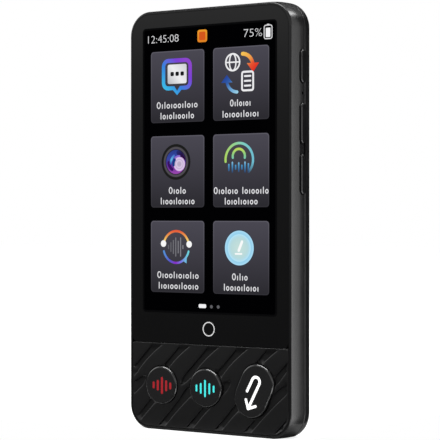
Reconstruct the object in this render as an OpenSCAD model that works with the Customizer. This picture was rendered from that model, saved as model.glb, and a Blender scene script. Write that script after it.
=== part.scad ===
// Handheld translator: a slim slab with a glass front, a ribbed key panel and keys on its side.
// It is drawn lying on its back, x across, y up the device and z from back to front,
// and stand() lifts each piece on to its bottom edge: +Z up, front towards -Y, origin under its middle.

/* [Housing] */
// Width of the housing's front edge
body_w = 58; // [53:0.5:66]
// Height of the housing's front edge
body_h = 126; // [114:0.5:140]
// Thickness of the housing, without its keys
body_d = 11; // [10:0.1:12.5]
// How far the side walls stand out beyond the front edge, at the seam
side_crown = 0.5; // [0.3:0.05:0.7]
// Radius of the housing's corners, seen from the front
corner_r = 7.1; // [6:0.1:8]
// Rounding along the rear edge
rear_round = 2.6; // [2:0.1:3.4]
// Rounding along the front edge
front_round = 0.6; // [0.3:0.05:0.7]
// Height of the seam between rear cover and mid frame, from the back
seam_z = 4.35; // [3.9:0.05:4.6]
// Rounding of the two edges that meet at the seam
seam_round = 0.25; // [0.1:0.05:0.3]
// Thickness of the side walls
wall = 1.3; // [1.1:0.05:1.4]
// Thickness of the rear cover's floor
floor_t = 1.3; // [1.1:0.05:1.4]
// Width of the rim that frames glass and key panel
rim_w = 0.8; // [0.6:0.05:0.9]
// Depth of the ledge that carries glass and key panel, from the outer face
ledge_w = 2.5; // [2:0.1:3]
// Thickness of that ledge
ledge_t = 0.8; // [0.6:0.05:1]
// Height of the tongue that locates the rear cover in the mid frame
tongue_h = 0.9; // [0.6:0.05:1]
// Thickness of that tongue
tongue_t = 0.55; // [0.4:0.05:0.6]

/* [Display] */
// Height at which the glass ends and the key panel starts
split_y = 26.2; // [23.2:0.1:29.2]
// Thickness of the cover glass
glass_t = 1.1; // [0.8:0.05:1.2]
// Radius of the glass's two lower corners
glass_low_r = 1.5; // [0.5:0.1:3]
// Thickness of the tape under the glass
tape_t = 0.2; // [0.1:0.05:0.3]
// Distance from the housing's sides to the picture area
screen_side = 5.35; // [4.7:0.05:8]
// Distance from the housing's top to the picture area
screen_top = 5.65; // [5:0.05:9]
// Distance from the glass's lower edge to the picture area
screen_low = 9.65; // [8.5:0.05:12]
// Blind border of the display at its sides and top
lcd_border = 1.3; // [0.8:0.1:1.6]
// Blind border of the display at its bottom, over the driver chip
lcd_foot = 4.2; // [3:0.1:4.4]
// Thickness of the liquid crystal cell
lcd_t = 1.2; // [1:0.05:1.3]
// Thickness of the backlight
backlight_t = 1; // [0.8:0.05:1.1]
// Thickness of the stamped plate behind the display
plate_t = 0.6; // [0.4:0.05:0.7]

/* [Front keys] */
// Distance of the front keys' middle below the middle of the key panel
key_drop = 0.05; // [-0.3:0.05:0.5]
// Distance from the housing's left side to the left speak key's middle
left_key_in = 12; // [10.8:0.1:13.2]
// Place of the right speak key, across
right_key_x = -0.8; // [-1.4:0.1:0]
// Distance from the housing's right side to the back key's middle
back_key_in = 12.6; // [11.8:0.1:13.6]
// Radius of the speak keys and of the back key's ends
key_r = 5.75; // [5.2:0.05:5.9]
// Distance from the back key's middle to the centre of each end
back_key_reach = 2.4; // [1.5:0.1:3]
// Lean of the back key to the right
back_key_lean = 26; // [0:1:35]
// Height of the front keys above the panel
key_proud = 0.6; // [0.4:0.05:1]
// Rounding of the front keys' rims
key_rim = 0.6; // [0.3:0.05:0.8]
// Gap between a front key and its hole
key_gap = 0.15; // [0.1:0.01:0.25]
// Travel of the front keys
key_travel = 0.35; // [0.2:0.01:0.45]
// Thickness of the flange that keeps a front key in
key_flange_t = 0.6; // [0.4:0.05:0.7]
// Width of that flange beyond the cap
key_flange_w = 0.7; // [0.5:0.05:0.8]
// Length of the nub that presses the dome
key_nub_h = 0.8; // [0.6:0.05:0.9]

/* [Key panel relief] */
// Depth of the wavy grooves
groove_depth = 0.55; // [0.3:0.05:0.65]
// Distance from groove to groove, across
groove_pitch = 10.35; // [9:0.05:12]
// Width of the upper grooves at the panel's top edge
upper_groove_w = 3.9; // [3:0.1:4.5]
// Width of the lower grooves at the panel's bottom edge
lower_groove_w = 2.6; // [2:0.1:3.5]

/* [Side keys] */
// Distance from the seam to the side keys' middle; their slots lie across the seam
side_key_rise = 1.2; // [1:0.05:1.6]
// Width of the side keys
side_key_w = 2.6; // [2.2:0.05:2.7]
// Distance from the housing's top to the power key
power_top = 13.75; // [11:0.05:16]
// Length of the power key
power_len = 9.6; // [8:0.1:10]
// Distance between the power key and the volume-up key, where the microphone sits
key_pause = 5.8; // [4.6:0.05:7]
// Distance between the volume keys
volume_gap = 3; // [2.5:0.05:4]
// Length of each volume key
volume_len = 11.7; // [10:0.1:12]
// Height of the side keys above the wall
side_key_proud = 0.5; // [0.3:0.05:0.8]
// Depth of the shallow recess that joins the two volume keys
volume_recess = 0.3; // [0.15:0.05:0.4]
// Gap between a side key and its slot
side_key_gap = 0.2; // [0.1:0.01:0.25]
// Travel of the side keys
side_key_travel = 0.3; // [0.15:0.01:0.35]
// Thickness of the flange that keeps a side key in
side_flange_t = 0.6; // [0.4:0.05:0.7]
// Width of that flange beyond the key
side_flange_w = 0.45; // [0.3:0.05:0.5]
// Radius of the microphone holes
mic_hole_r = 0.45; // [0.3:0.05:0.6]

/* [Boards and battery] */
// Thickness of the circuit boards
board_t = 0.8; // [0.6:0.05:0.9]
// Height of the main board
main_board_h = 40.9; // [36:0.1:46]
// Width of the steel can over the processor
processor_w = 18; // [15:0.1:20]
// Height of that can
processor_h = 18.5; // [15:0.1:21]
// Width of the steel can over the radio
radio_w = 8; // [6:0.1:9]
// Height of that can
radio_h = 11.5; // [9:0.1:13]
// Room left behind the battery, in which it may swell
battery_room = 0.8; // [0.6:0.05:1.2]
// Distance from the battery to the main board above it
battery_gap = 2.5; // [2:0.1:4]
// Width of the ribbon that links the two boards
link_w = 3.6; // [3:0.1:4.2]
// Width of the display's ribbon
display_flex_w = 7.6; // [6:0.1:9]
// Width of the antenna film
antenna_w = 20; // [16:0.5:24]
// Height of the key dome over its board
dome_h = 0.35; // [0.2:0.05:0.4]
// Radius of the key domes
dome_r = 2.5; // [2:0.1:3]
// Thickness of the ribbon cables
flex_t = 0.3; // [0.15:0.05:0.3]

/* [Rear camera and light] */
// Distance from the housing's right side to the camera's middle
camera_in = 15; // [13.4:0.1:17]
// Distance from the housing's top to the camera's middle
camera_top = 14; // [12.4:0.1:15.6]
// Radius of the camera's trim ring
camera_ring_r = 5.2; // [4.8:0.1:5.6]
// Radius of the camera's window
camera_window_r = 4; // [3.6:0.1:4.2]
// Radius of the camera's barrel
camera_barrel_r = 3; // [2.5:0.1:3.1]
// Side of the camera's square base
camera_base_w = 8.5; // [8:0.1:9]
// Distance from the camera down to its light
light_drop = 10.5; // [10:0.1:11.5]
// Radius of the light's lens
light_r = 1.6; // [1.2:0.1:1.8]

/* [Speaker and socket] */
// Distance from the housing's left side to the speaker's middle
speaker_in = 14; // [12.6:0.1:15.6]
// Height of the speaker's middle
speaker_y = 15; // [14.5:0.1:15.5]
// Length of the speaker
speaker_w = 18; // [16:0.5:20]
// Width of the speaker
speaker_h = 11; // [9:0.5:12]
// Thickness of the speaker
speaker_t = 3.2; // [2.8:0.1:3.4]
// Radius of the holes in the speaker grille
grille_hole_r = 0.6; // [0.4:0.05:0.7]
// Distance between the holes in the grille
grille_pitch = 2; // [1.8:0.05:2.2]
// Outer width of the USB-C shell
usb_w = 8.94; // [8.9:0.01:9]
// Outer thickness of the USB-C shell
usb_t = 3.2; // [3.1:0.01:3.26]
// Depth of the USB-C shell
usb_len = 7.3; // [6.5:0.1:8]
// Place of the bottom microphone, across
bottom_mic_x = 14; // [13:0.1:16]

/* [Hidden] */
$fn = 48;

fit = 0.1;        // clearance between pieces that seat in each other
cut = 0.5;        // how far a cutter runs past the face that it opens
end_gap = 0.05;   // air left between a nub and its switch when the key is fully pressed

// Heights of the layers, from the back (z)
ledge_z = body_d - glass_t - tape_t;
lcd_z = body_d - glass_t - lcd_t;
backlight_z = lcd_z - backlight_t;
plate_z = backlight_z - plate_t;
boss_t = 0.7;     // pad between chassis plate and main board
main_board_z = plate_z - boss_t - board_t;
side_arc_r = (pow(body_d - seam_z, 2) + pow(side_crown, 2)) / (2 * side_crown);   // of the side walls
key_seat_z = ledge_z - end_gap;
key_flange_z = key_seat_z - key_flange_t;
dome_top_z = key_flange_z - key_nub_h - key_travel - end_gap;
key_board_top = dome_top_z - dome_h;
key_board_z = key_board_top - board_t;
battery_tape_t = 0.2;
battery_z = floor_t + battery_room;
battery_t = plate_z - battery_tape_t - battery_z;
side_key_z = seam_z + side_key_rise;
usb_z = key_board_z - 1;

// How far the side walls stand out beyond the front edge at a height z
function crown_at(z) = side_crown - side_arc_r + sqrt(pow(side_arc_r, 2) - pow(z - seam_z, 2));

// Faces and gaps seen from the front (x, y)
half_w = body_w / 2;
inner_x = half_w - wall;
inner_top = body_h - wall;
pocket_w = body_w - 2 * (rim_w + fit);
split_gap = 0.1;  // half of the gap between glass and key panel
pocket_r = corner_r - rim_w - fit;
panel_low = rim_w + fit;
panel_high = split_y - split_gap;
glass_low = split_y + split_gap;
glass_high = body_h - rim_w - fit;
lcd_w = body_w - 2 * screen_side + 2 * lcd_border;
lcd_low = split_y + screen_low - lcd_foot;
lcd_high = body_h - screen_top + lcd_border;
left_key_x = -half_w + left_key_in;
back_key_x = half_w - back_key_in;
key_y = (panel_low + panel_high) / 2 - key_drop;
camera_x = half_w - camera_in;
camera_y = body_h - camera_top;
light_y = camera_y - light_drop;
speaker_x = -half_w + speaker_in;

// Boards, battery and ribbons, seen from the front (x, y)
key_board_low = wall + 0.3;
key_board_high = split_y + 2.4;
key_board_half = inner_x - 1.2;
main_board_left = -inner_x + 0.8;
main_board_high = inner_top - 0.8;
main_board_y = main_board_high - main_board_h;
shield_low = main_board_y + 8.5;
plate_pad_inset = 1.6;   // from the wall's inner face to the middle of a plate pad
link_x = inner_x - 2 * plate_pad_inset - 0.5 - link_w / 2;
link_overlap = 3.6;      // how far the ribbon reaches over the key board's top edge
board_overlap = 5;       // and the ribbons over the main board's lower edge
fence_t = 0.8;           // ribs of the rear cover beside the battery
fence_gap = 0.3;         // and their distance from it
battery_x0 = -inner_x + 2 * plate_pad_inset + fit;
battery_x1 = link_x - link_w / 2 - 0.2 - fence_t - fence_gap;
battery_w = battery_x1 - battery_x0;
battery_y = key_board_high + 2.4;
battery_h = main_board_y - battery_gap - battery_y;
display_flex_x = 8;
lead_x0 = battery_x0 + 12;   // lead from the battery to the main board
lead_w = 7;

// Side keys: their middles (y), and the stack from the wall inwards (x)
power_y = body_h - power_top - power_len / 2;
volume_up_y = power_y - power_len / 2 - key_pause - volume_len / 2;
volume_down_y = volume_up_y - volume_len - volume_gap;
side_mic_y = volume_up_y + (volume_len + key_pause) / 2;
side_flange_x = inner_x - end_gap - side_flange_t;
side_nub_h = 0.35;
switch_x = side_flange_x - side_nub_h - side_key_travel - end_gap;
switch_t = 0.9;
switch_len = 3.6;
switch_w = 2.4;
side_board_x = switch_x - switch_t;
side_board_t = 0.4;
side_board_w = 2.9;
side_bay_x = side_board_x - side_board_t - 0.3;
side_keys = [[volume_down_y, volume_len], [volume_up_y, volume_len], [power_y, power_len]];
side_post_w = 1.2;
side_post_y = [volume_down_y - volume_len / 2 - side_flange_w - 1.1,
               (volume_down_y + volume_up_y) / 2,
               power_y + power_len / 2 + side_flange_w + 1.1];

// Screws: places, and the pads of the mid frame that they pass
pad_r = 1.9;
pad_inset = 2.4;  // from the wall's inner face to a pad's middle
screw_r = 0.7;
screw_hole_r = 0.8;
screw_head_r = 1.3;
screw_head_t = 0.6;
board_pads = [[-inner_x + pad_inset, main_board_y + 2.6],
              [-inner_x + 7.2, inner_top - pad_inset], [inner_x - 8.7, inner_top - pad_inset]];
plate_pads = [[-inner_x + plate_pad_inset, battery_y + 0.4 * battery_h],
              [-inner_x + plate_pad_inset, battery_y + 0.84 * battery_h],
              [inner_x - plate_pad_inset, battery_y + 3],
              [inner_x - plate_pad_inset, side_post_y[0] - 6.9]];
key_post_r = 1.7;
key_posts = [[left_key_x - 5, split_y + 0.4], [back_key_x + 0.1, split_y + 0.4],
             [(left_key_x + right_key_x) / 2 - 0.5, 3.6], [(right_key_x + back_key_x) / 2 + 1.4, 3.6]];

// Parts of the boards
connector_t = 0.8;
shield_t = 1.6;
shield_gap = 2;      // between the two steel cans
mic_w = 3;
speaker_lip = 1.2;   // width of the speaker's gasket

// Outline of the panels and of the key panel's relief
key_list = [left_key_x, right_key_x];
relief_side = 0.5;   // plain border of the relief at the panel's sides and bottom
relief_top = 0.9;    // and below the glass
relief_step = 1.1;   // longest straight stretch in a groove's edge

// Snap ribs on the rear cover's tongue: [place along the wall, length], for each wall
clip_len = 6;
clip_r = 0.25;
clip_low = 22;       // lowest clip of each side wall
clip_high = 12;      // distance of the highest one from the top
clip_left_y = [for (i = [0:4]) clip_low + i / 4 * (body_h - clip_high - clip_low)];
clip_right_y = [for (i = [0:2]) clip_low + i / 2 * (side_post_y[0] - 6.9 - clip_low)];
clip_top_x = [-13, 13];
clip_bottom_x = [-13, 13];

// ---- helpers -------------------------------------------------------------

// Lifts a piece from its lying place on to the bottom edge of the device
module stand() translate([0, body_d / 2, 0]) rotate([90, 0, 0]) children();

module rounded_rect(w, h, r) {
  square([w - 2 * r, h], center = true);
  square([w, h - 2 * r], center = true);
  for (sx = [-1, 1], sy = [-1, 1]) translate([sx * (w / 2 - r), sy * (h / 2 - r)]) circle(r);
}

// A panel from y0 to y1 with other radii below than above
module panel_outline(w, y0, y1, r_low, r_high) {
  translate([-w / 2, y0 + r_low]) square([w, y1 - y0 - r_low - r_high]);
  translate([-w / 2 + r_low, y0]) square([w - 2 * r_low, y1 - y0 - r_high]);
  translate([-w / 2 + r_high, y0 + r_low]) square([w - 2 * r_high, y1 - y0 - r_low]);
  for (s = [-1, 1]) {
    translate([s * (w / 2 - r_low), y0 + r_low]) circle(r_low);
    translate([s * (w / 2 - r_high), y1 - r_high]) circle(r_high);
  }
}

module plate(z, t) translate([0, 0, z]) linear_extrude(t) children();

module block(x0, x1, y0, y1, z0, z1) translate([x0, y0, z0]) cube([x1 - x0, y1 - y0, z1 - z0]);

module round_block(x0, x1, y0, y1, z0, z1, r)
  translate([(x0 + x1) / 2, (y0 + y1) / 2, z0])
    linear_extrude(z1 - z0) rounded_rect(x1 - x0, y1 - y0, r);

// Carries a profile of (distance from the corner's centre, height) round the housing
module housing_sweep() {
  translate([0, body_h / 2, 0])
    for (i = [0:3]) {
      across = i % 2 == 0 ? body_w : body_h;
      along = i % 2 == 0 ? body_h : body_w;
      rotate(90 * i) translate([across / 2 - corner_r, along / 2 - corner_r, 0]) {
        rotate([90, 0, 0]) linear_extrude(along - 2 * corner_r) children();
        rotate_extrude(angle = 90) children();
      }
    }
}

// What a fillet takes off an outer corner at (p, z); sp and sz say which way the corner points
module fillet_cutter(p, z, r, sp, sz)
  translate([p - sp * r, z - sz * r]) scale([sp, sz]) difference() {
    square(r + cut);
    circle(r);
  }

// Carries a profile of (radius, height) round a slot whose ends lie at y = -reach and y = reach
module slot_sweep(reach) {
  for (s = [0, 180]) rotate(s) {
    translate([0, reach, 0]) rotate_extrude(angle = 180) children();
    translate([0, reach, 0]) rotate([90, 0, 0]) linear_extrude(2 * reach) children();
  }
}

module slot_outline(reach, r) {
  square([2 * r, 2 * reach], center = true);
  for (s = [-1, 1]) translate([0, s * reach]) circle(r);
}

module slot_across(w, h) {
  square([w - h, h], center = true);
  for (s = [-1, 1]) translate([s * (w - h) / 2, 0]) circle(h / 2);
}

// ---- housing -------------------------------------------------------------

module rear_block(p, z, r) difference() {
  square([p, z]);
  fillet_cutter(p, 0, r, 1, -1);
}

module rear_profile() {
  difference() {
    rear_block(corner_r + side_crown, seam_z, rear_round);
    fillet_cutter(corner_r + side_crown, seam_z, seam_round, 1, 1);
    translate([0, floor_t])
      rear_block(corner_r - wall, seam_z, max(rear_round - wall, 0.2));
  }
  translate([corner_r - wall, seam_z - cut]) square([tongue_t, tongue_h + cut]);
}

// Takes the crown off the bottom wall, so that the device stands on a flat strip
module foot_cut() block(-half_w, half_w, -side_crown - cut, 0, -cut, body_d + cut);

module grille_holes() {
  for (i = [-3:3], j = [-1:1])
    translate([speaker_x + i * grille_pitch, speaker_y + j * grille_pitch, -cut])
      cylinder(h = floor_t + 2 * cut, r = grille_hole_r);
}

module rear_cover() color([0.09, 0.09, 0.1]) stand() {
  difference() {
    union() {
      housing_sweep() rear_profile();
      block(-half_w + corner_r, half_w - corner_r, corner_r, body_h - corner_r, 0, floor_t);
      clips(0);
      battery_fence();
      speaker_fence();
    }
    grille_holes();
    translate([camera_x, camera_y, -cut]) {
      cylinder(h = 0.9 + cut, r = camera_ring_r + fit);
      cylinder(h = floor_t + 2 * cut, r = camera_barrel_r + 0.3);
    }
    translate([camera_x, light_y, -cut]) cylinder(h = floor_t + 2 * cut, r = light_r + fit);
    side_bay();
    side_openings();
    socket_bay();
    socket_mouth();
    foot_cut();
  }
}

// Half-round ribs that snap into grooves of the mid frame; grow widens them to the grooves
module clips(grow) {
  x = inner_x + tongue_t;
  y_top = inner_top + tongue_t;
  for (y = clip_left_y) clip(-x, y, 0, grow);
  for (y = clip_right_y) clip(x, y, 0, grow);
  for (cx = clip_top_x) clip(cx, y_top, 90, grow);
  for (cx = clip_bottom_x) clip(cx, body_h - y_top, 90, grow);
}

module clip(x, y, turn, grow)
  translate([x, y, seam_z + tongue_h / 2]) rotate(turn) rotate([90, 0, 0])
    cylinder(h = clip_len + 2 * grow, r = clip_r + grow, center = true);

// Ribs inside the rear cover that keep the battery in its place
module battery_fence() {
  x0 = battery_x0 - fence_gap;
  x1 = battery_x1 + fence_gap;
  for (y = [battery_y + 6, battery_y + battery_h - 14]) {
    block(x0 - fence_t, x0, y, y + 8, floor_t - fit, battery_z + 1.2);
    block(x1, x1 + fence_t, y, y + 8, floor_t - fit, battery_z + 1.2);
  }
}

module speaker_fence() {
  difference() {
    speaker_prism(0.9, floor_t - fit, 2.2);
    speaker_prism(fit, 0, 4);
  }
}

module speaker_prism(grow, z, h)
  translate([speaker_x, speaker_y, z])
    linear_extrude(h) rounded_rect(speaker_w + 2 * grow, speaker_h + 2 * grow, 1.5 + grow);

// Slots of the side keys, and the recess between the volume keys
module side_openings() {
  slot_r = side_key_w / 2 + side_key_gap;
  for (k = side_keys) translate([inner_x - cut, k[0], side_key_z]) rotate([0, 90, 0])
    linear_extrude(wall + side_crown + 2 * cut) slot_outline((k[1] - side_key_w) / 2, slot_r);
  block(half_w + crown_at(side_key_z) - volume_recess, half_w + side_crown + cut,
        volume_down_y, volume_up_y, side_key_z - slot_r, side_key_z + slot_r);
}

// Room in both shells for the side keys' flanges
module side_bay()
  for (k = side_keys)
    block(inner_x - cut, inner_x + tongue_t + fit, k[0] - k[1] / 2 - 1, k[0] + k[1] / 2 + 1,
          side_key_z - side_key_w / 2 - side_flange_w - fit, body_d);

// Room in both shells for the socket behind the bottom wall
module socket_bay()
  block(-usb_w / 2 - 0.4, usb_w / 2 + 0.4, wall - tongue_t - fit, wall + cut,
        usb_z - usb_t / 2 - 0.3, body_d);

module socket_mouth()
  translate([0, wall + cut, usb_z]) rotate([90, 0, 0])
    linear_extrude(wall + 2 * cut) slot_across(usb_w + 0.4, usb_t + 0.4);

module frame_profile() {
  round_start = crown_at(body_d - front_round) + 0.005;   // a touch outside, so no step is left
  difference() {
    intersection() {
      translate([corner_r - wall, seam_z]) square([wall + side_crown, body_d - seam_z]);
      translate([corner_r + side_crown - side_arc_r, seam_z]) circle(side_arc_r, $fn = 360);
    }
    fillet_cutter(corner_r + round_start, body_d, front_round, 1, 1);
    fillet_cutter(corner_r + side_crown, seam_z, seam_round, 1, -1);
    translate([corner_r - wall - cut, ledge_z]) square([wall - rim_w + cut, body_d]);
    translate([corner_r - wall - cut, seam_z - cut])
      square([tongue_t + fit + cut, tongue_h + fit + cut]);
  }
  translate([corner_r - ledge_w, ledge_z - ledge_t]) square([ledge_w - rim_w, ledge_t]);
}

module mid_frame() color([0.2, 0.2, 0.21]) stand() {
  difference() {
    union() {
      housing_sweep() frame_profile();
      block(-inner_x, inner_x, split_y - 1.3, split_y + 2.1, ledge_z - ledge_t, ledge_z);
      board_pad_posts();
      key_board_posts();
      side_board_posts();
    }
    side_openings();
    translate([inner_x - cut, side_mic_y, side_key_z]) rotate([0, 90, 0])
      cylinder(h = wall + side_crown + 2 * cut, r = mic_hole_r);
    translate([bottom_mic_x, -cut, usb_z]) rotate([-90, 0, 0])
      cylinder(h = wall + 2 * cut, r = mic_hole_r);
    socket_mouth();
    foot_cut();
    clips(fit);
    screw_holes(board_pads, plate_z - boss_t);
    screw_holes(plate_pads, plate_z - boss_t);
    screw_holes(key_posts, key_board_top);
  }
}

module screw_holes(places, z)
  for (p = places) translate([p[0], p[1], z - cut]) cylinder(h = 1.3 + cut, r = screw_hole_r);

// Pads on the walls: the chassis plate lies on their front, the main board on their back
module board_pad_posts()
  for (p = concat(board_pads, plate_pads)) {
    reach_side = abs(p[1] - inner_top) > 2 * pad_inset;
    wall_x = p[0] < 0 ? -inner_x - fit : inner_x + fit;
    r = min(pad_r, inner_x - abs(p[0]));
    web = 0.9 * r;
    translate([p[0], p[1], plate_z - boss_t]) cylinder(h = boss_t, r = r);
    if (reach_side)
      block(min(p[0], wall_x), max(p[0], wall_x), p[1] - web, p[1] + web, plate_z - boss_t, plate_z);
    else
      block(p[0] - web, p[0] + web, p[1], inner_top + fit, plate_z - boss_t, plate_z);
  }

// Posts under the ledge and the cross bar that the key board is screwed to
module key_board_posts()
  for (p = key_posts) {
    translate([p[0], p[1], key_board_top])
      cylinder(h = ledge_z - ledge_t - key_board_top + fit, r = key_post_r);
    if (p[1] < split_y / 2)
      block(p[0] - key_post_r, p[0] + key_post_r, wall - fit, p[1],
            key_board_top, ledge_z - ledge_t + fit);
  }

// Posts on the right wall that the side key board lies against
module side_board_posts()
  for (y = side_post_y)
    block(side_board_x, inner_x + fit, y - side_post_w / 2, y + side_post_w / 2,
          seam_z + tongue_h + fit, side_key_z + 1.6);

// ---- key panel and its relief ---------------------------------------------

// Left and right edge of a groove: offset across at a distance d from where the groove starts
function upper_left(d) = -0.9 * d - 0.01 * d * d;
function upper_right(d) = upper_groove_w - 1.45 * d + 0.042 * d * d;
function lower_left(d) = 1.02 * d - 0.0115 * d * d;
function lower_right(d) = lower_groove_w + 0.87 * d + 0.0145 * d * d;

// Share of a groove's width that is left at d: it runs out to a point over its last stretch
function taper(d, length) = min(1, pow(max(0, (length - d) / 3.3), 0.7));
function edge(a, b, side, share) = (a + b) / 2 + side * (b - a) / 2 * share;

module upper_groove(length) {
  n = round(length / relief_step);
  ds = [for (i = [0:n]) length * i / n];
  left = [for (d = ds) [edge(upper_left(d), upper_right(d), -1, taper(d, length)), -d]];
  right = [for (i = [n - 1:-1:0]) let (d = ds[i])
             [edge(upper_left(d), upper_right(d), 1, taper(d, length)), -d]];
  polygon(concat(left, right));
}

module lower_groove(length) {
  n = round(length / relief_step);
  ds = [for (i = [0:n]) length * i / n];
  left = [for (d = ds) [edge(lower_left(d), lower_right(d), -1, taper(d, length)), d]];
  right = [for (i = [n - 1:-1:0]) let (d = ds[i])
             [edge(lower_left(d), lower_right(d), 1, taper(d, length)), d]];
  polygon(concat(left, right));
}

module relief_outline()
  intersection() {
    panel_outline(pocket_w - 2 * relief_side, panel_low + relief_side, panel_high - relief_top,
                  pocket_r - relief_side, 0.4);
    union() {
      for (i = [-2:3])
        translate([i * groove_pitch - 0.1, panel_high - relief_top]) upper_groove(12);
      for (i = [-4:2])
        translate([i * groove_pitch + 2.2, panel_low + relief_side - 0.2]) lower_groove(15);
    }
  }

module key_holes(grow) {
  for (x = key_list) translate([x, key_y]) circle(key_r + grow);
  translate([back_key_x, key_y]) rotate(-back_key_lean) slot_outline(back_key_reach, key_r + grow);
}

module front_panel() color([0.13, 0.13, 0.14]) stand()
  difference() {
    plate(ledge_z, body_d - ledge_z)
      panel_outline(pocket_w, panel_low, panel_high, pocket_r, 0.8);
    plate(body_d - groove_depth, groove_depth + cut) relief_outline();
    plate(ledge_z - cut, body_d) key_holes(key_gap);
  }

// ---- display --------------------------------------------------------------

module glass_shape() panel_outline(pocket_w, glass_low, glass_high, glass_low_r, pocket_r);

module front_glass() color([0.03, 0.03, 0.04]) stand()
  plate(body_d - glass_t, glass_t) glass_shape();

module glass_tape() color([0.1, 0.1, 0.1]) stand()
  plate(ledge_z, tape_t) difference() {
    panel_outline(pocket_w - 0.4, glass_low + 0.2, glass_high - 0.2, glass_low_r, pocket_r - 0.2);
    panel_outline(body_w - 2 * ledge_w, split_y + 2.1, body_h - ledge_w, 1, corner_r - ledge_w);
  }

module lcd_cell() color([0.05, 0.05, 0.08]) stand()
  round_block(-lcd_w / 2, lcd_w / 2, lcd_low, lcd_high, lcd_z, body_d - glass_t, 0.5);

module backlight_unit() color("silver") stand()
  round_block(-lcd_w / 2 + 0.3, lcd_w / 2 - 0.3, lcd_low + 2, lcd_high - 0.3, backlight_z, lcd_z, 0.5);

// Ribbon that leaves the display's foot and turns down on to the key board
module display_flex() color([0.75, 0.45, 0.1]) stand() {
  x0 = display_flex_x - display_flex_w / 2;
  x1 = display_flex_x + display_flex_w / 2;
  y_turn = lcd_low - 0.9;
  block(x0, x1, y_turn - flex_t, lcd_low + 1.7, lcd_z - flex_t, lcd_z);
  block(x0, x1, y_turn - flex_t, y_turn, key_board_top, lcd_z - flex_t);
  block(x0, x1, split_y - 0.2, y_turn - flex_t, key_board_top, key_board_top + flex_t);
}

module chassis_plate() color([0.7, 0.71, 0.73]) stand()
  difference() {
    plate(plate_z, plate_t) panel_outline(2 * inner_x - 2 * fit, key_board_high + 0.6, inner_top - fit,
                                          1, corner_r - wall - fit);
    block(side_bay_x, half_w, side_post_y[0] - 1.4, side_post_y[2] + 1.4, 0, body_d);
    block(display_flex_x - display_flex_w / 2 - 1, display_flex_x + display_flex_w / 2 + 1,
          split_y, lcd_low, 0, body_d);
    for (p = concat(board_pads, plate_pads))
      translate([p[0], p[1], plate_z - cut]) cylinder(h = plate_t + 2 * cut, r = screw_hole_r);
    for (x = [-12, 0, 12], share = [0.42, 0.75])
      translate([x, battery_y + battery_h * share, plate_z - cut])
        cylinder(h = plate_t + 2 * cut, r = 3.2);
  }

// ---- electronics ----------------------------------------------------------

module main_board() color([0.05, 0.3, 0.16]) stand()
  difference() {
    plate(main_board_z, board_t)
      translate([(main_board_left + side_bay_x) / 2, (main_board_y + main_board_high) / 2])
        rounded_rect(side_bay_x - main_board_left, main_board_high - main_board_y, 4.5);
    translate([camera_x, camera_y, 0])
      block(-camera_base_w / 2 - 0.3, camera_base_w / 2 + 0.3,
            -camera_base_w / 2 - 0.3, camera_base_w / 2 + 0.3, 0, body_d);
    for (p = board_pads) translate([p[0], p[1], 0]) cylinder(h = body_d, r = screw_hole_r);
  }

// A drawn steel can, open towards the board
module shield(x0, w, h) {
  skin = 0.25;
  z = main_board_z - shield_t;
  difference() {
    round_block(x0, x0 + w, shield_low, shield_low + h, z, main_board_z, 0.6);
    round_block(x0 + skin, x0 + w - skin, shield_low + skin, shield_low + h - skin, z + skin,
                main_board_z + cut, 0.4);
  }
}

module processor_shield() color([0.75, 0.76, 0.78]) stand()
  shield(-shield_gap - processor_w, processor_w, processor_h);

module radio_shield() color([0.72, 0.73, 0.75]) stand()
  shield(0, radio_w, radio_h);

module battery() color([0.22, 0.23, 0.25]) stand() {
  fold = 1.6;
  bite = 1;   // how far the folded top reaches into the pouch
  translate([(battery_x0 + battery_x1) / 2, battery_y, battery_z + battery_t / 2]) rotate([-90, 0, 0])
    linear_extrude(battery_h - fold) rounded_rect(battery_w, battery_t, 1.2);
  block(battery_x0 + 4, battery_x1 - 4, battery_y + battery_h - fold - bite, battery_y + battery_h,
        battery_z + battery_t - 1.4, battery_z + battery_t);
}

module battery_tape() color([0.9, 0.88, 0.8]) stand()
  for (s = [0.12, 0.62])
    block(battery_x0 + battery_w * s, battery_x0 + battery_w * (s + 0.26),
          battery_y + 3, battery_y + battery_h - 5, plate_z - battery_tape_t, plate_z);

// Lead from the battery's folded top to its socket on the board
module battery_lead() color([0.8, 0.5, 0.15]) stand() {
  block(lead_x0, lead_x0 + lead_w, battery_y + battery_h, main_board_y + board_overlap + 0.5,
        main_board_z - connector_t - flex_t, main_board_z - connector_t);
  block(lead_x0, lead_x0 + lead_w, battery_y + battery_h, battery_y + battery_h + flex_t,
        main_board_z - connector_t, battery_z + battery_t);
}

// Ribbon beside the battery, from the key board's back up to the main board's front
module link_flex() color([0.85, 0.5, 0.12]) stand() {
  x0 = link_x - link_w / 2;
  x1 = link_x + link_w / 2;
  y_step = battery_y + link_w + 0.4;
  key_end_z = key_board_z - flex_t;
  main_end_z = main_board_z + board_t;
  block(x0, x1, key_board_high - link_overlap, y_step, key_end_z, key_end_z + flex_t);
  block(x0, x1, y_step - flex_t, y_step, min(key_end_z, main_end_z), max(key_end_z, main_end_z) + flex_t);
  block(x0, x1, y_step - flex_t, main_board_y + board_overlap, main_end_z, main_end_z + flex_t);
}

module flex_connectors() color([0.15, 0.13, 0.12]) stand() {
  lead_end = main_board_y + board_overlap;
  block(lead_x0 + 0.5, lead_x0 + lead_w - 0.5, lead_end - 2, lead_end + 0.3,
        main_board_z - connector_t, main_board_z);
  block(display_flex_x - display_flex_w / 2 + 0.4, display_flex_x + display_flex_w / 2 - 0.4,
        split_y - 2.5, split_y - 0.2, key_board_top, key_board_top + connector_t);
}

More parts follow.
